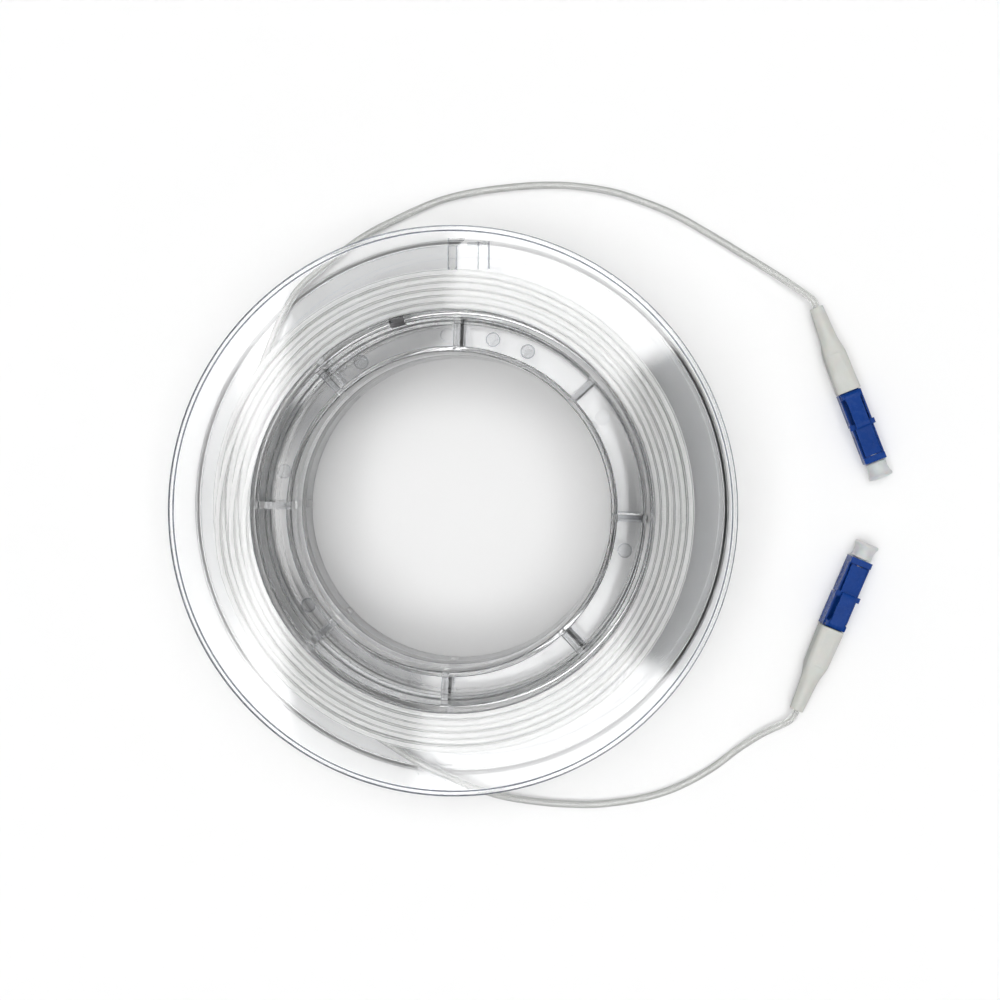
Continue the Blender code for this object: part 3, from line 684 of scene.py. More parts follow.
def clear_plastic_look():
    """Clear polystyrene: smooth, with faint flow waves, dust and hairline scratches.

    A rounded edge has a normal that leans. A face across the ring has one that points along
    the ring: the place crossed with the normal has a z part of nearly the whole radius there.
    Painted shade darkens those faces, and by their place also the ribs, the ejector marks and the
    lines of the slot and the clip; the small window in the hub is black inside.
    """
    look = Look("spool_clear_plastic", ior=1.50, transmission_weight=1.0)
    where = look.coordinates("Object")
    normal = look.coordinates("Normal")
    height = look.split(where)[2]
    level = look.vector("MULTIPLY", where, (1.0, 1.0, 0.0))
    radius = look.vector("LENGTH", level, output=1)
    in_upper = height.above(SPOOL_HEIGHT / 2 * MM)

    def along(angle):
        """How far each place lies along a level direction."""
        direction = (math.cos(angle), math.sin(angle), 0.0)
        return look.vector("DOT_PRODUCT", level, direction, output=1)

    def below(value, limit):
        """1 where a length is up to a limit in mm, else 0."""
        return 1 - value.above(limit * MM)

    def within(value, low, high):
        """1 where a length lies between two limits in mm, else 0."""
        return value.above(low * MM) * below(value, high)

    upright = look.split(normal)[2].absolute()
    leaning = look.rise(upright, 0.02, 0.14) * (1 - look.rise(upright, 0.93, 0.99))
    rim = radius.above((RIM_INNER_RADIUS - 0.3) * MM)
    edge = leaning * (rim * (in_upper * 0.95 - 0.25) + 0.3)
    crossed = look.vector("CROSS_PRODUCT", level, normal)
    across = look.rise(look.split(crossed)[2].absolute() / radius, 0.75, 0.92)
    rib = 0
    for number in range(RIB_COUNT // 2):
        rib_side = RIB_ANGLE + math.pi * (0.5 + number / (RIB_COUNT // 2))
        rib = rib + below(along(rib_side).absolute(), RIB_THICKNESS / 2 + 0.05)
    rib = (rib * within(radius, BORE_WALL_RADIUS + 0.1, HUB_INNER_RADIUS - 0.1)).clamp()
    disc = 0
    for degrees, grey in zip(MARK_ANGLES, MARK_SHADES):
        angle = math.radians(degrees)
        centre = [MARK_CENTRE_RADIUS * MM * part for part in (math.cos(angle), math.sin(angle), 0)]
        away = look.vector("DISTANCE", level, centre, output=1)
        ring = within(away, MARK_RADIUS - 0.3, MARK_RADIUS + 0.1) * MARK_RING_SHADE
        middle = below(away, MARK_RADIUS - 0.3) * MARK_MIDDLE_SHADE
        disc = disc + (ring + middle) * grey * in_upper
    window = (below(along(WINDOW_ANGLE + math.pi / 2).absolute(), WINDOW_WIDTH / 2 + 0.05)
              * within(along(WINDOW_ANGLE), WINDOW_INNER - 0.1, WINDOW_OUTER + 0.1)
              * within(height, SPOOL_HEIGHT - WINDOW_DEPTH - 0.05, SPOOL_HEIGHT - 0.5))
    outward = along(SLOT_ANGLE)
    right = along(SLOT_ANGLE - math.pi / 2)
    cut = 0
    for start, end, inner, outer, box_shade in CUT_SHADES:
        cut = cut + within(right, start, end) * within(outward, inner, outer) * box_shade
    cut = cut * height.above((SPOOL_HEIGHT - PLATE_TOP - 0.1) * MM)
    # Painted shade: edges, faces across the ring, ribs, ejector marks and slot and clip lines go
    # blue-grey.
    unshaded = (1 - edge) * (1 - across * ACROSS_SHADE) * (1 - rib * RIB_SHADE) * (1 - disc)
    clear = look.mix(1 - unshaded * (1 - cut), CLEAR_COLOUR, PAINTED_SHADE_COLOUR)
    look.set("base_color", look.mix(window, clear, WINDOW_COLOUR))
    dust = look.noise(90, 4.0, 0.65)
    look.set("roughness", dust * 0.03 + 0.005)
    flow = look.noise(45, 2.0, 0.4)
    hair = look.noise(420, where=look.place(scale=(1.0, 7.0, 1.0), turn=(0, 0, 0.5)))
    look.bump(flow + hair * 0.03, 0.10 * MM, 0.20)
    return look.material


CLEAR = clear_plastic_look()
make_spool_half("spool_lower_shell", "spool_lower_half", False, CLEAR)
make_spool_half("spool_upper_shell", "spool_upper_half", True, CLEAR)

# %% [markdown]
# ## The winding
#
# The cord fills the spool in six layers that lie in each other's grooves. It is one path: it goes
# round and up through a layer, climbs on to the next one and comes down again. Within a turn the
# cord stays level and steps over to the next place in a short stretch, as on a real winding, and
# small waves keep the strands from looking machined.

# %% Winding path
LAYERS = 6
TURNS = 15
LAYER_STEP = 2.0 * math.sqrt(3) / 2
FIRST_RADIUS = 54.25
OUTER_RADIUS = FIRST_RADIUS + LAYER_STEP * (LAYERS - 1)
LOWEST_TURN = 3.6
TURN_PITCH = 28.8 / 14.5
STEPS_PER_TURN = 80
STEP_OVER = 0.12
LAST_TURN_END = math.radians(200)
WAVE = 0.10
WINDING_SIDES = 8


def smoothstep(x):
    """Climbs from 0 to 1 with a level start and end."""
    x = np.clip(x, 0, 1)
    return x * x * (3 - 2 * x)


def winding_path():
    """Points along all the turns.

    The turn number rises evenly, but the height only steps up in the last share of each turn.
    A layer's radius is the first one plus whole layer steps, and it steps up near the end of
    the layer. Every other layer runs downwards and lies half a pitch off.
    """
    turn = np.arange(LAYERS * TURNS * STEPS_PER_TURN) / STEPS_PER_TURN
    whole = np.floor(turn)
    part = smoothstep((turn - whole - (1 - STEP_OVER)) / STEP_OVER)
    layer = np.minimum(whole // TURNS, LAYERS - 1)
    place = whole - layer * TURNS
    last = place == TURNS - 1
    rise = np.where(last, 0.5, 1.0) * part
    up = (layer % 2) == 0
    level = np.where(up, place + rise, TURNS - 1 - place + 0.5 - rise)
    radius = FIRST_RADIUS + LAYER_STEP * (layer + np.where(last, part, 0.0))
    radius = np.minimum(radius, OUTER_RADIUS)
    angle = 2 * np.pi * turn + LAST_TURN_END
    random = np.random.default_rng(7)
    phase = random.uniform(0, 2 * np.pi, (LAYERS * TURNS, 3))[whole.astype(int)]
    ends = np.minimum(level, TURNS - 0.5 - level)
    free = WAVE * (0.4 + 0.6 * np.exp(-np.maximum(ends, 0)))
    wave = (np.sin(3 * angle + phase[:, 0]) + 0.6 * np.sin(7 * angle + phase[:, 1])
            + 0.4 * np.sin(11 * angle + phase[:, 2]))
    radius = radius + free * wave * 0.6
    height = LOWEST_TURN + TURN_PITCH * level
    return around(radius, angle, height) * MM


def lead_in(start_angle, start_height, end):
    """The stretch that lifts off the outer layer and ends where a tail begins."""
    end = np.array(end) / MM
    t = np.linspace(0, 1, 44)
    radius = OUTER_RADIUS + (math.hypot(end[0], end[1]) - OUTER_RADIUS) * t**2.2
    angle = start_angle + (math.atan2(end[1], end[0]) % (2 * np.pi) - start_angle) * t
    height = start_height + (end[2] - start_height) * smoothstep(t)
    return around(radius, angle, height) * MM


print("the winding's layers reach from", FIRST_RADIUS, "to", round(OUTER_RADIUS, 2), "mm")

# %% [markdown]
# Ninety see-through turns behind each other look milky, and would take long to render. So the wound
# cord is a solid white plastic, and its material paints what shows of the strand inside, with thin
# lines of painted shade between the sides of each turn.

# %% Winding mesh
def winding_look():
    """The wound cord: milky, with thin lines of painted shade and faint streaks along each turn.

    The painted shade lines run between the four sides of the cord. Its UV map tells how far round
    the cord a point is, and noise stretched along that map makes the streaks.
    """
    look = Look("cord_wound_milky", roughness=0.3, ior=1.47, coat_weight=0.3,
                coat_roughness=0.12, transmission_weight=0.0)
    clouds = look.noise(260)
    unrolled = look.coordinates("UV")
    share = look.split(unrolled)[1]
    # Painted shade: thin dark lines between the four sides of each turn.
    line = look.rise(((share * 4 + 0.5).fract() - 0.5).absolute(), 0.34, 0.47)
    stretched = look.vector("MULTIPLY", unrolled, (0.02, 16.0, 1.0))
    streak = look.rise(look.noise(1.0, 2.0, 0.6, stretched), 0.50, 0.68)
    grey = 1 - (1 - line * 0.9) * (1 - streak * 0.35)
    white = look.mix(clouds, (0.92, 0.92, 0.91), (0.99, 0.99, 0.975))
    look.set("base_color", look.mix(grey, white, (0.40, 0.41, 0.40)))
    look.set("roughness", clouds * 0.15 + 0.22)
    look.bump(look.noise(2600, 2.0, 0.5), 0.02 * MM, 0.5)
    return look.material


WOUND = winding_look()
turns = ring_mesh("winding_turns", tube_grid(winding_path(), CORD_DIAMETER / 2, WINDING_SIDES),
                  weld=False)
add_piece("winding_turns", turns, WOUND, node="cable_winding")
lead_paths = [lead_in(math.radians(215), LOWEST_TURN + TURN_PITCH, TAIL_A_ROUTE[0]),
              lead_in(LAST_TURN_END, LOWEST_TURN, TAIL_B_ROUTE[0])]
LEADS = [("winding_lead_jackets", CORD_DIAMETER / 2, TAIL_SIDES, JACKET),
         ("winding_lead_strands", STRAND_DIAMETER / 2, STRAND_SIDES, STRAND)]
for name, radius, sides, material in LEADS:
    leads = [ring_mesh(name, tube_grid(path, radius, sides)) for path in lead_paths]
    add_piece(name, finish_mesh(joined(name, leads), weld=False), material)

# %% [markdown]
# ## The plugs
#
# A plug is built along its own axis, in millimetres, with x from the boot's tail to the cap's
# end and z towards the latch. One matrix a plug then lays it on the table: plug B also leans on
# its side by 7 degrees, which is why the photo shows more of its left face.

# %% Plug places
PLUG_LIFT = 0.1
PLUG_BELOW_AXIS = 3.4
PLUG_HALF_WIDTH = 3.2
PLUGS = {
    "a": {"tail": (98.74, 55.60), "heading": math.radians(-68.85), "roll": 0.0},
    "b": {"tail": (93.71, -55.93), "heading": math.radians(67.30), "roll": math.radians(7.0)},
}


def plug_place(label):
    """The matrix from a plug's own frame in mm to the shared frame in metres."""
    plug = PLUGS[label]
    roll = plug["roll"]
    low = PLUG_BELOW_AXIS * math.cos(roll) + PLUG_HALF_WIDTH * abs(math.sin(roll))
    lay = Matrix.Rotation(plug["heading"], 4, "Z") @ Matrix.Rotation(roll, 4, "X")
    return Matrix.Scale(MM, 4) @ Matrix.Translation((*plug["tail"], low + PLUG_LIFT)) @ lay


def on_both_plugs(kind, make_mesh, material, node, body=BODY, flats=False):
    """A piece on each plug: its mesh is made in the plug's own frame and moved to its place."""
    pieces = {}
    for label in PLUGS:
        name = f"{kind}_{label}"
        mesh = make_mesh(name)
        mesh.transform(plug_place(label))
        pieces[label] = add_piece(name, mesh, material, f"{node}_{label}",
                                  body.format(label), flats)
    return pieces


for label in PLUGS:
    print("plug", label, "lies", round(plug_place(label).translation.z / MM, 2), "mm up")

# %% [markdown]
# The boot is soft plastic: a round tail that grips the cord, a slim neck, a shoulder, and a
# rounded-square front that clips round the blue body. Its section is a superellipse all along,
# and only its size and power change. A flat panel is raised on top of the front part, and the
# step at its back end shows as a short dark line.

# %% Boot shape
BOOT_LENGTH = 24.8
BOOT_TAIL_RADIUS = 1.9
BOOT_NECK_RADIUS = 2.4
BOOT_FRONT = (3.4, 3.3)
BOOT_NECK_AT = 8.4
BOOT_SHOULDER_AT = 14.9
BOOT_COLUMNS = 56
CORD_HOLE_RADIUS = 1.12
PANEL_START = 13.5
PANEL_HALF_WIDTHS = (1.5, 2.35)
PANEL_RISE = 0.16


def boot_size(x):
    """Half width, half height and power of the boot's section at each x."""
    ease = smoothstep((x - BOOT_NECK_AT) / (BOOT_SHOULDER_AT - BOOT_NECK_AT))
    run = np.clip((x - BOOT_SHOULDER_AT) / (BOOT_LENGTH - BOOT_SHOULDER_AT), 0, 1)
    neck = BOOT_TAIL_RADIUS + (BOOT_NECK_RADIUS - BOOT_TAIL_RADIUS) * np.clip(x / BOOT_NECK_AT, 0, 1)
    sizes = [neck + (front * (0.94 + 0.06 * run) - neck) * ease for front in BOOT_FRONT]
    return sizes[0], sizes[1], 2.0 + 2.2 * ease + 0.8 * run


def even_loop(y, z, count):
    """Points at even steps of arc length on closed outlines, one outline a row."""
    y, z = np.hstack([y, y[:, :1]]), np.hstack([z, z[:, :1]])
    step = np.hypot(np.diff(y, axis=1), np.diff(z, axis=1))
    along = np.hstack([np.zeros((len(y), 1)), np.cumsum(step, axis=1)])
    loops = []
    for row in range(len(y)):
        marks = np.linspace(0, along[row, -1], count, endpoint=False)
        loops.append([np.interp(marks, along[row], y[row]), np.interp(marks, along[row], z[row])])
    return np.array(loops)


def boot_grid():
    """The boot's rows: the cord's hole, the tail's rounded lip, the skin and the front face."""
    skin = np.unique(np.concatenate([np.linspace(0.25, BOOT_LENGTH - 0.25, 62),
                                     PANEL_START + np.array([-0.12, 0.0, 0.08, 0.16, 0.3])]))
    x = np.concatenate([[1.6, 0.08, 0.0, 0.0, 0.05], skin, [BOOT_LENGTH - 0.05, BOOT_LENGTH]])
    half_width, half_height, power = boot_size(x)
    shrink = np.zeros_like(x)
    shrink[:5] = [BOOT_TAIL_RADIUS - CORD_HOLE_RADIUS] * 2 + [0.65, 0.22, 0.06]
    shrink[-2:] = [0.06, 0.26]
    half_width, half_height = half_width - shrink, half_height - shrink
    angle = np.linspace(-np.pi / 2, 1.5 * np.pi, 720, endpoint=False)
    c, s = np.cos(angle)[None], np.sin(angle)[None]
    bend = 2 / power[:, None]
    loops = even_loop(half_width[:, None] * np.sign(c) * np.abs(c) ** bend,
                      half_height[:, None] * np.sign(s) * np.abs(s) ** bend, BOOT_COLUMNS)
    y, z = loops[:, 0], loops[:, 1]
    run = np.clip((x - PANEL_START) / (BOOT_LENGTH - PANEL_START), 0, 1)[:, None]
    edge = PANEL_HALF_WIDTHS[0] + (PANEL_HALF_WIDTHS[1] - PANEL_HALF_WIDTHS[0]) * run
    rise = PANEL_RISE * smoothstep((x[:, None] - PANEL_START) / 0.14) * (1 - run) ** 0.5
    inside = (z > 0) * np.clip((edge - np.abs(y)) / 0.3, 0, 1)
    z = z + inside * (half_height[:, None] + rise - z) * (x[:, None] > PANEL_START)
    return np.stack([np.repeat(x[:, None], BOOT_COLUMNS, axis=1), y, z], axis=2)


def boot_look():
    """Pale warm grey soft plastic with a fine matt grain, and painted shade where it doesn't face
    up.
    """
    look = Look("boot_soft_plastic", roughness=0.5, coat_weight=0.12, coat_roughness=0.35,
                subsurface_weight=0.15, subsurface_scale=0.0015)
    cloud = look.noise(180)
    # Painted shade: the colour darkens as the normal turns away from up.
    side = 1 - look.rise(look.split(look.coordinates("Normal"))[2], 0.0, 0.55)
    skin = look.mix(cloud, (0.52, 0.525, 0.495), (0.63, 0.635, 0.605))
    look.set("base_color", look.mix(side * 0.6, skin, (0.20, 0.205, 0.19)))
    grain = look.noise(5200, 2.0, 0.6)
    look.set("roughness", grain * 0.14 + 0.42)
    look.bump(grain + cloud * 2, 0.02 * MM, 0.6)
    return look.material


boots = on_both_plugs("plug_boot", lambda name: ring_mesh(name, boot_grid()), boot_look(),
                      "boot")

# %% [markdown]
# The blue parts are moulded blocks with many small steps. Each one is a list of boxes and wedges
# that are fused, then every edge gets a small round, because a moulding has no sharp edge and
# the round is what catches the light.

# %% Blocks, wedges and rounds
BEVEL_ANGLE = math.radians(35)


def wedge(name, outline, half_width, middle=0.0):
    """An (x, z) outline in mm with the same width all along, around a middle y."""
    return extruded(name, outline, 1, middle - half_width, middle + half_width)


def block(start, end, low, high, half_width, middle=0.0):
    """A box from start to end along x and from low to high along z."""
    corners = [(start, low), (end, low), (end, high), (start, high)]
    return wedge("block", corners, half_width, middle)


def fused(name, solids, cuts):
    """The first solid with the others joined to it and the cuts taken away."""
    mesh = solids[0]
    for solid in solids[1:]:
        mesh = with_boolean(mesh, solid, "UNION")
    for cut in cuts:
        mesh = with_boolean(mesh, cut, "DIFFERENCE")
    mesh.name = name
    return mesh


def rounded(mesh, width):
    """The mesh with each edge sharper than a limit rounded by a bevel."""
    obj = new_object("bevel_" + mesh.name, mesh)
    bevel = obj.modifiers.new("rounds", "BEVEL")
    bevel.width = width
    bevel.segments = 2
    bevel.limit_method = "ANGLE"
    bevel.angle_limit = BEVEL_ANGLE
    bevel.harden_normals = False
    result = evaluated_mesh(obj)
    bpy.data.objects.remove(obj)
    bpy.data.meshes.remove(mesh)
    return finish_mesh(result)


# %% [markdown]
# The rear body carries the trigger, a lever that reaches forward over the latch. A bridge across
# the back holds it up. Below the lever the body is open on top, with a thin wall on each side:
# those are the two dark pockets beside the lever in the photo.

# %% Rear body
BODY_START, BODY_END = 25.1, 34.6
BODY_TOP = 1.6
BODY_POCKET_FLOOR = -0.6
BODY_WALL = 0.5
TRIGGER_LOW, TRIGGER_HIGH = 3.1, 4.0
TRIGGER_HALF_WIDTH = 2.0
TRIGGER_END = 35.35
BODY_ROUND = 0.13


def rear_body_mesh(name):
    """The rear body in its plug's frame: solids fused, pocket, grooves and panels cut."""
    shell = block(BODY_START, BODY_END, -PLUG_BELOW_AXIS, BODY_TOP, PLUG_HALF_WIDTH)
    neck = block(24.84, BODY_START + 0.5, -2.9, 1.3, 2.7)
    mouth = block(BODY_END - 0.5, 34.86, -2.8, 0.9, 2.55)
    bridge = wedge("bridge", [(25.1, 0.0), (26.7, 0.0), (26.7, 3.3), (26.45, 3.55), (25.5, 3.55),
                              (25.1, 3.2)], 2.9)
    saddle = wedge("saddle", [(25.3, 3.0), (27.2, 3.0), (27.2, 3.7), (26.6, 4.0), (25.95, 4.0),
                              (25.3, 3.7)], 2.2)
    lever = wedge("lever", [(25.9, TRIGGER_LOW), (TRIGGER_END, TRIGGER_LOW),
                            (TRIGGER_END, TRIGGER_HIGH - 0.45), (34.9, TRIGGER_HIGH - 0.1),
                            (33.6, TRIGGER_HIGH), (25.9, TRIGGER_HIGH)], TRIGGER_HALF_WIDTH)
    pocket = block(27.0, BODY_END + 1, BODY_POCKET_FLOOR, BODY_TOP + 1,
                   PLUG_HALF_WIDTH - BODY_WALL)
    grooves = [block(26.85, 27.0, 0.9, 2.0, 0.6, side * 3.2) for side in (-1, 1)]
    side_panels = [block(26.2, 33.4, -2.2, 0.2, 0.12, side * 3.26) for side in (-1, 1)]
    mesh = fused(name, [shell, neck, mouth, bridge, saddle, lever],
                 [pocket, *grooves, *side_panels])
    return rounded(mesh, BODY_ROUND)


# %% [markdown]
# The plug frame holds the ferrule in a square block. Its latch is a plate that is rooted behind
# the front collar, rises slowly backwards, and ends in a crossbar whose two ears snap into the
# adapter. The plate stands free over the block, so dark slits run down both of its sides.

# %% Plug frame
FRAME_START, FRAME_END = 34.9, 45.4
FRAME_HALF_WIDTH = 3.05
FRAME_LOW = -3.3
COLLAR_START = 43.8
COLLAR_TOP = 2.4
LATCH_HALF_WIDTH = 2.35
LATCH_LOW, LATCH_HIGH = 2.0, 2.8
LATCH_BAR = (33.85, 35.35)
LATCH_BAR_HALF_WIDTH = 3.6
FRAME_BORE_RADIUS = 1.95
FRAME_BORE_FLOOR = 39.4
FRAME_ROUND = 0.11


def plug_frame_mesh(name):
    """The plug frame in its plug's frame: the tray is cut before the latch's root goes in."""
    shell = block(FRAME_START, FRAME_END, FRAME_LOW, BODY_TOP, FRAME_HALF_WIDTH)
    collar = block(COLLAR_START, FRAME_END, 0.0, COLLAR_TOP, FRAME_HALF_WIDTH)
    arm = wedge("arm", [(43.0, 0.5), (44.2, 0.5), (44.2, 2.15), (COLLAR_START, 2.15),
                        (36.4, 2.62), (36.0, LATCH_HIGH), (34.4, LATCH_HIGH),
                        (34.4, LATCH_LOW), (36.0, LATCH_LOW), (42.3, 1.8), (43.0, 1.4)],
                LATCH_HALF_WIDTH)
    bar = block(*LATCH_BAR, LATCH_LOW, LATCH_HIGH, LATCH_BAR_HALF_WIDTH)
    tray = block(FRAME_START - 1, COLLAR_START - 0.3, 0.3, BODY_TOP + 1, FRAME_HALF_WIDTH - 0.42)
    root = block(42.9, COLLAR_START + 0.2, -0.5, 1.5, LATCH_HALF_WIDTH)
    line = block(43.42, 43.62, 1.75, 3.0, FRAME_HALF_WIDTH + 1)
    dimple = wedge("dimple", [(39.7, 2.31), (41.4, 2.20), (41.4, 3.0), (39.7, 3.0)], 0.95)
    bore = extruded("bore", circle(FRAME_BORE_RADIUS, 0, 0, 32), 0, FRAME_BORE_FLOOR,
                    FRAME_END + 1)
    windows = [block(37.2, 42.2, -2.0, 0.4, 0.14, side * 3.11) for side in (-1, 1)]
    mesh = with_boolean(shell, tray, "DIFFERENCE")
    mesh = fused(name, [mesh, root, collar, arm, bar], [line, dimple, bore, *windows])
    return rounded(mesh, FRAME_ROUND)


def blue_look():
    """Blue moulded plastic with a satin skin, fine grain and a few rubbed spots."""
    look = Look("plug_blue_plastic", roughness=0.3, ior=1.5, specular_ior_level=0.12,
                coat_weight=0.03, coat_roughness=0.12)
    cloud = look.noise(240)
    look.set("base_color", look.mix(cloud, (0.0015, 0.030, 0.175), (0.004, 0.050, 0.270)))
    grain = look.noise(4200)
    rub = look.noise(520, 4.0, 0.65)
    look.set("roughness", (rub ** 3) * 0.5 + 0.2)
    look.bump(grain + rub * 1.5, 0.015 * MM, 0.7)
    return look.material


BLUE = blue_look()
rear_bodies = on_both_plugs("plug_body", rear_body_mesh, BLUE, "rear_body",
                            flats=True)
plug_frames = on_both_plugs("plug_housing", plug_frame_mesh, BLUE, "plug_frame",
                            flats=True)

# %% [markdown]
# The dust cap is a soft frosted turning: a thin tube that slips over the ferrule, and a head
# with a waist and a rim to pull it by. Its whole shape is one profile spun round the plug's axis.

# %% Dust caps
CAP_PROFILE = [
    (50.02, 0.0), (50.02, 2.30), (50.10, 2.42), (50.20, 2.62), (50.20, 3.12), (50.12, 3.29),
    (49.95, 3.35), (49.42, 3.35), (49.30, 3.30), (49.22, 3.16), (49.05, 3.08), (48.75, 2.97),
    (48.30, 2.87), (47.80, 2.79), (47.30, 2.75), (46.80, 2.76), (46.35, 2.82), (46.00, 2.91),
    (45.84, 2.95), (45.73, 2.88), (45.70, 2.70), (45.70, 1.72), (45.62, 1.60), (45.50, 1.575),
    (41.20, 1.575), (41.04, 1.50), (41.00, 1.36), (41.00, 1.08), (41.05, 0.97), (41.20, 0.925),
    (48.60, 0.925), (48.75, 0.85), (48.80, 0.60), (48.80, 0.0),
]
CAP_COLUMNS = 64


def spun(profile, columns):
    """A grid that spins (x, radius) points round the x axis."""
    profile = np.array(profile)
    angle = np.linspace(0, 2 * np.pi, columns, endpoint=False)[None]
    x, radius = profile[:, :1], profile[:, 1:]
    return np.stack([x + 0 * angle, radius * np.cos(angle), radius * np.sin(angle)], axis=2)


def cap_look():
    """Frosted translucent polythene: milky, with a waxy skin."""
    look = Look("cap_frosted_plastic", roughness=0.38, ior=1.51, transmission_weight=0.35,
                subsurface_weight=0.3, subsurface_scale=0.002)
    look.vary(look.noise(320), (0.74, 0.76, 0.77), (0.84, 0.86, 0.87), 0.2, 0.28)
    look.bump(look.noise(2400), 0.015 * MM, 0.5)
    return look.material


def cap_mesh(name):
    """The cap in its plug's frame; its profile starts and ends on the axis, so it is closed."""
    return grid_mesh(name, spun(CAP_PROFILE, CAP_COLUMNS), wrap_columns=True)


caps = on_both_plugs("plug_cap", cap_mesh, cap_look(), "dust_cap",
                     body="cap_{}")

# %% [markdown]
# The ferrule is hidden in the cap. Its CAD solid is already right, so it only gets a polished
# ceramic: almost white, with very faint mottling.

# %% Ferrules
def ceramic_look():
    """Polished zirconia, almost white."""
    look = Look("ferrule_zirconia", roughness=0.12, ior=2.1, coat_weight=0.3)
    look.vary(look.noise(1800), (0.82, 0.81, 0.77), (0.90, 0.89, 0.86), 0.08, 0.08)
    return look.material


CERAMIC = ceramic_look()
ferrules = {label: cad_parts[f"ferrule_{label}"] for label in PLUGS}
for ferrule in ferrules.values():
    for place in range(len(ferrule.material_slots)):
        ferrule.material_slots[place].material = CERAMIC
print("ferrules dressed:", [ferrule.name for ferrule in ferrules.values()])

# %% [markdown]
# ## The tape
#
# A short piece of clear film holds the second tail near the rim. It arches over the cord and
# sticks to the flange on both sides of it. Its free edges are wrinkled, and those wrinkles are
# nearly all that can be seen of it: a few thin grey lines.

# %% Tape film
TAPE_CENTRE = np.array([-7.25, -73.4, 3.8])
TAPE_HEADING = math.atan2(-0.0752 + 0.0716, -0.0033 + 0.0112)
TAPE_LENGTH = 9.0
TAPE_ARCH = 1.32
TAPE_FOOT_REACH = 3.4
TAPE_FOOT_HEIGHT = -1.2
FILM = 0.09


def tape_grid():
    """The film's middle surface in mm: rows along the cord, columns from foot to foot.

    Across the cord its section is a flat foot, a half circle over the cord and the other
    foot. Waves that grow towards the free ends crumple it.
    """
    along = np.linspace(-0.5, 0.5, 46)[:, None]
    arc = np.linspace(0, np.pi, 25)
    foot = np.linspace(TAPE_FOOT_REACH, TAPE_ARCH, 9)[:-1]
    flat = np.full(len(foot), TAPE_FOOT_HEIGHT)
    across = np.concatenate([foot, TAPE_ARCH * np.cos(arc), -foot[::-1]])[None]
    up = np.concatenate([flat, TAPE_ARCH * np.sin(arc), flat])[None]
    side = np.clip(np.abs(across) / TAPE_FOOT_REACH, 0, 1)
    wave = (np.sin(17 * along + 2.3 * across) * 0.5 + np.sin(31 * along - 1.7 * across + 1.0) * 0.3
            + np.sin(9 * along + 4.1 * across + 2.0) * 0.4)
    reach = 1 - 0.22 * (1 + np.sin(7.0 * along + 0.8)) * side**2
    x = TAPE_LENGTH * along + 0.25 * np.sin(5 * along + across)
    y = across * reach
    z = up + np.abs(wave) * (0.10 + 0.35 * side)
    c, s = math.cos(TAPE_HEADING), math.sin(TAPE_HEADING)
    return np.stack([x * c - y * s, x * s + y * c, z + 0 * x], axis=2) + TAPE_CENTRE


def film_grid(middle, thickness):
    """A closed skin around a sheet: the sheet, and back under it along its points' normals."""
    across = np.gradient(middle, axis=1)
    along = np.gradient(middle, axis=0)
    normal = np.cross(along, across)
    normal /= np.linalg.norm(normal, axis=2, keepdims=True)
    upper = middle + normal * thickness / 2
    lower = middle - normal * thickness / 2
    return np.concatenate([upper, lower[:, ::-1]], axis=1)


def tape_look():
    """Clear film with a little haze and fine crumpling."""
    look = Look("tape_clear_film", ior=1.49, transmission_weight=1.0,
                base_color=(0.95, 0.955, 0.96))
    haze = look.noise(300)
    look.set("roughness", haze * 0.12 + 0.03)
    look.bump(look.noise(900), 0.04 * MM, 0.5)
    return look.material


tape_mesh = ring_mesh("tape_film", film_grid(tape_grid(), FILM) * MM)
tape = add_piece("tape_film", tape_mesh, tape_look(), node="tape_strip")

# %% [markdown]
# ## The tails' starts and lengths
#
# For each tail the loop works out where its path starts and how long it is, and keeps neither.

for label, (tail, strand, path) in tails.items():
    label == "b"
    tuple(path[0])
    path_length(path)

# %% [markdown]
# ## Table and light
#
# The photo is a product shot on a white sweep, which is a single large sheet here.

# %% Table
def table_look():
    """Plain white with clouds that are hardly there."""
    look = Look("table_white", roughness=0.6)
    cloud = look.noise(3, 2.0, 0.5)
    look.set("base_color", look.mix(cloud, (0.925, 0.925, 0.925), (0.94, 0.94, 0.94)))
    look.set("roughness", look.noise(400, 2.0, 0.5) * 0.2 + 0.5)
    return look.material


TABLE_HALF = 1.6
table_rows = np.linspace(-TABLE_HALF, TABLE_HALF, 9)
table_x, table_y = np.meshgrid(table_rows, table_rows)
table_mesh = grid_mesh("table", np.stack([table_x, table_y, 0 * table_x], axis=2))
table = new_object("table", table_mesh)
table_mesh.materials.append(table_look())


# %% [markdown]
# The light comes mostly from a large softbox overhead, which whitens every clear face that
# mirrors it. Clear plastic shows little but what it mirrors and bends, so lamps wouldn't do: the
# sky itself is painted, with brighter strips for the flange's white zones and a dark wedge for
# its grey zone on the right. Low down the sky is dim all round, so that clear edges have
# something dark to bend into view. Cycles doesn't have to aim rays at a sky as wide as this one,
# and without that aiming it renders faster.

# %% Sky
SIDE_GLOW = 0.42
LOW_GLOW = 0.20
GAP_GLOW = 0.12
HORIZON = 0.02
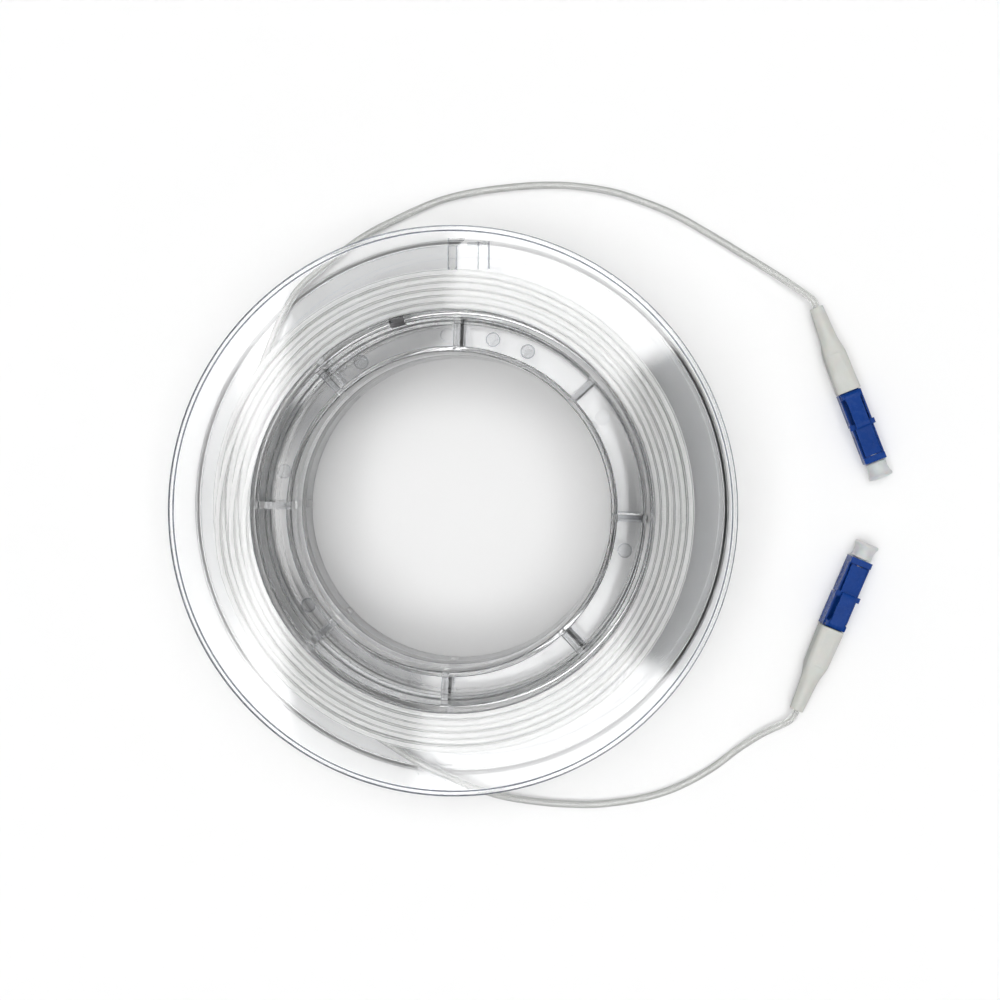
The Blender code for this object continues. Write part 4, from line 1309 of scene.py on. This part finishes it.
# Each panel's glow, its slope x/z from and to, its slope y/z from and to, its edge's softness,
# and how much it leans.
PANELS = [
    (3.4, -0.46, 0.46, -0.46, 0.46, 0.10, 0.0),
    (4.5, -0.52, -0.27, -0.42, -0.08, 0.03, 0.0),
    (4.6, -0.086, 0.10, -0.30, 0.24, 0.008, 0.07),
    (GAP_GLOW, 0.10, 0.30, -0.24, 0.16, 0.02, 0.0),
    (1.5, -0.30, -0.086, -0.30, 0.24, 0.006, 0.07),
    (3.0, -0.214, -0.169, -0.30, 0.24, 0.012, 0.0),
    (6.0, -0.193, -0.169, -0.30, 0.24, 0.006, 0.0),
]


def make_sky():
    """The light of each direction, painted in the slopes x/z and y/z of that direction.

    A panel is a soft-edged box of slopes, and each one covers what was painted before it. A flat
    clear face near the spool's rim mirrors slope x/z of about (x - 37.5 mm) / 476 mm.
    """
    world = bpy.data.worlds.new("studio_sky")
    world.use_nodes = True
    sky = Nodes(world.node_tree)
    x, y, z = sky.split(sky.coordinates("Generated"))
    across, along = x / z, y / z
    over = z.above(HORIZON)

    def between(value, low, high, soft):
        """1 between two values, with edges that are soft to that far on both sides."""
        return (sky.rise(value, low - soft, low + soft)
                * (1 - sky.rise(value, high - soft, high + soft)))

    light = sky.rise(z, HORIZON, 0.16) * (SIDE_GLOW - LOW_GLOW) + LOW_GLOW
    for glow, left, right, front, back, soft, slant in PANELS:
        mask = (between(across - along * slant, left, right, soft)
                * between(along, front, back, soft) * over)
        light = light + (glow - light) * mask
    in_wedge = across * 0.483 + 0.067 - (along + 0.034).absolute()
    gap = sky.rise(in_wedge, -0.010, 0.008) * between(across, 0.016, 0.33, 0.012) * over
    light = light + (GAP_GLOW - light) * gap
    background = sky.tree.nodes["Background"]
    sky.feed(background.inputs["Color"], (1.0, 1.0, 1.0))
    sky.feed(background.inputs["Strength"], light)
    world.cycles.sampling_method = "NONE"
    bpy.context.scene.world = world


make_sky()

scene = bpy.context.scene
scene.view_settings.view_transform = "Standard"
scene.view_settings.exposure = 0.15
scene.cycles.max_bounces = 20
scene.cycles.transmission_bounces = 18
scene.cycles.transparent_max_bounces = 8
scene.cycles.diffuse_bounces = 3
scene.cycles.glossy_bounces = 6
scene.cycles.sample_clamp_indirect = 12.0
print("sky painted with", len(PANELS), "panels and a dark wedge")
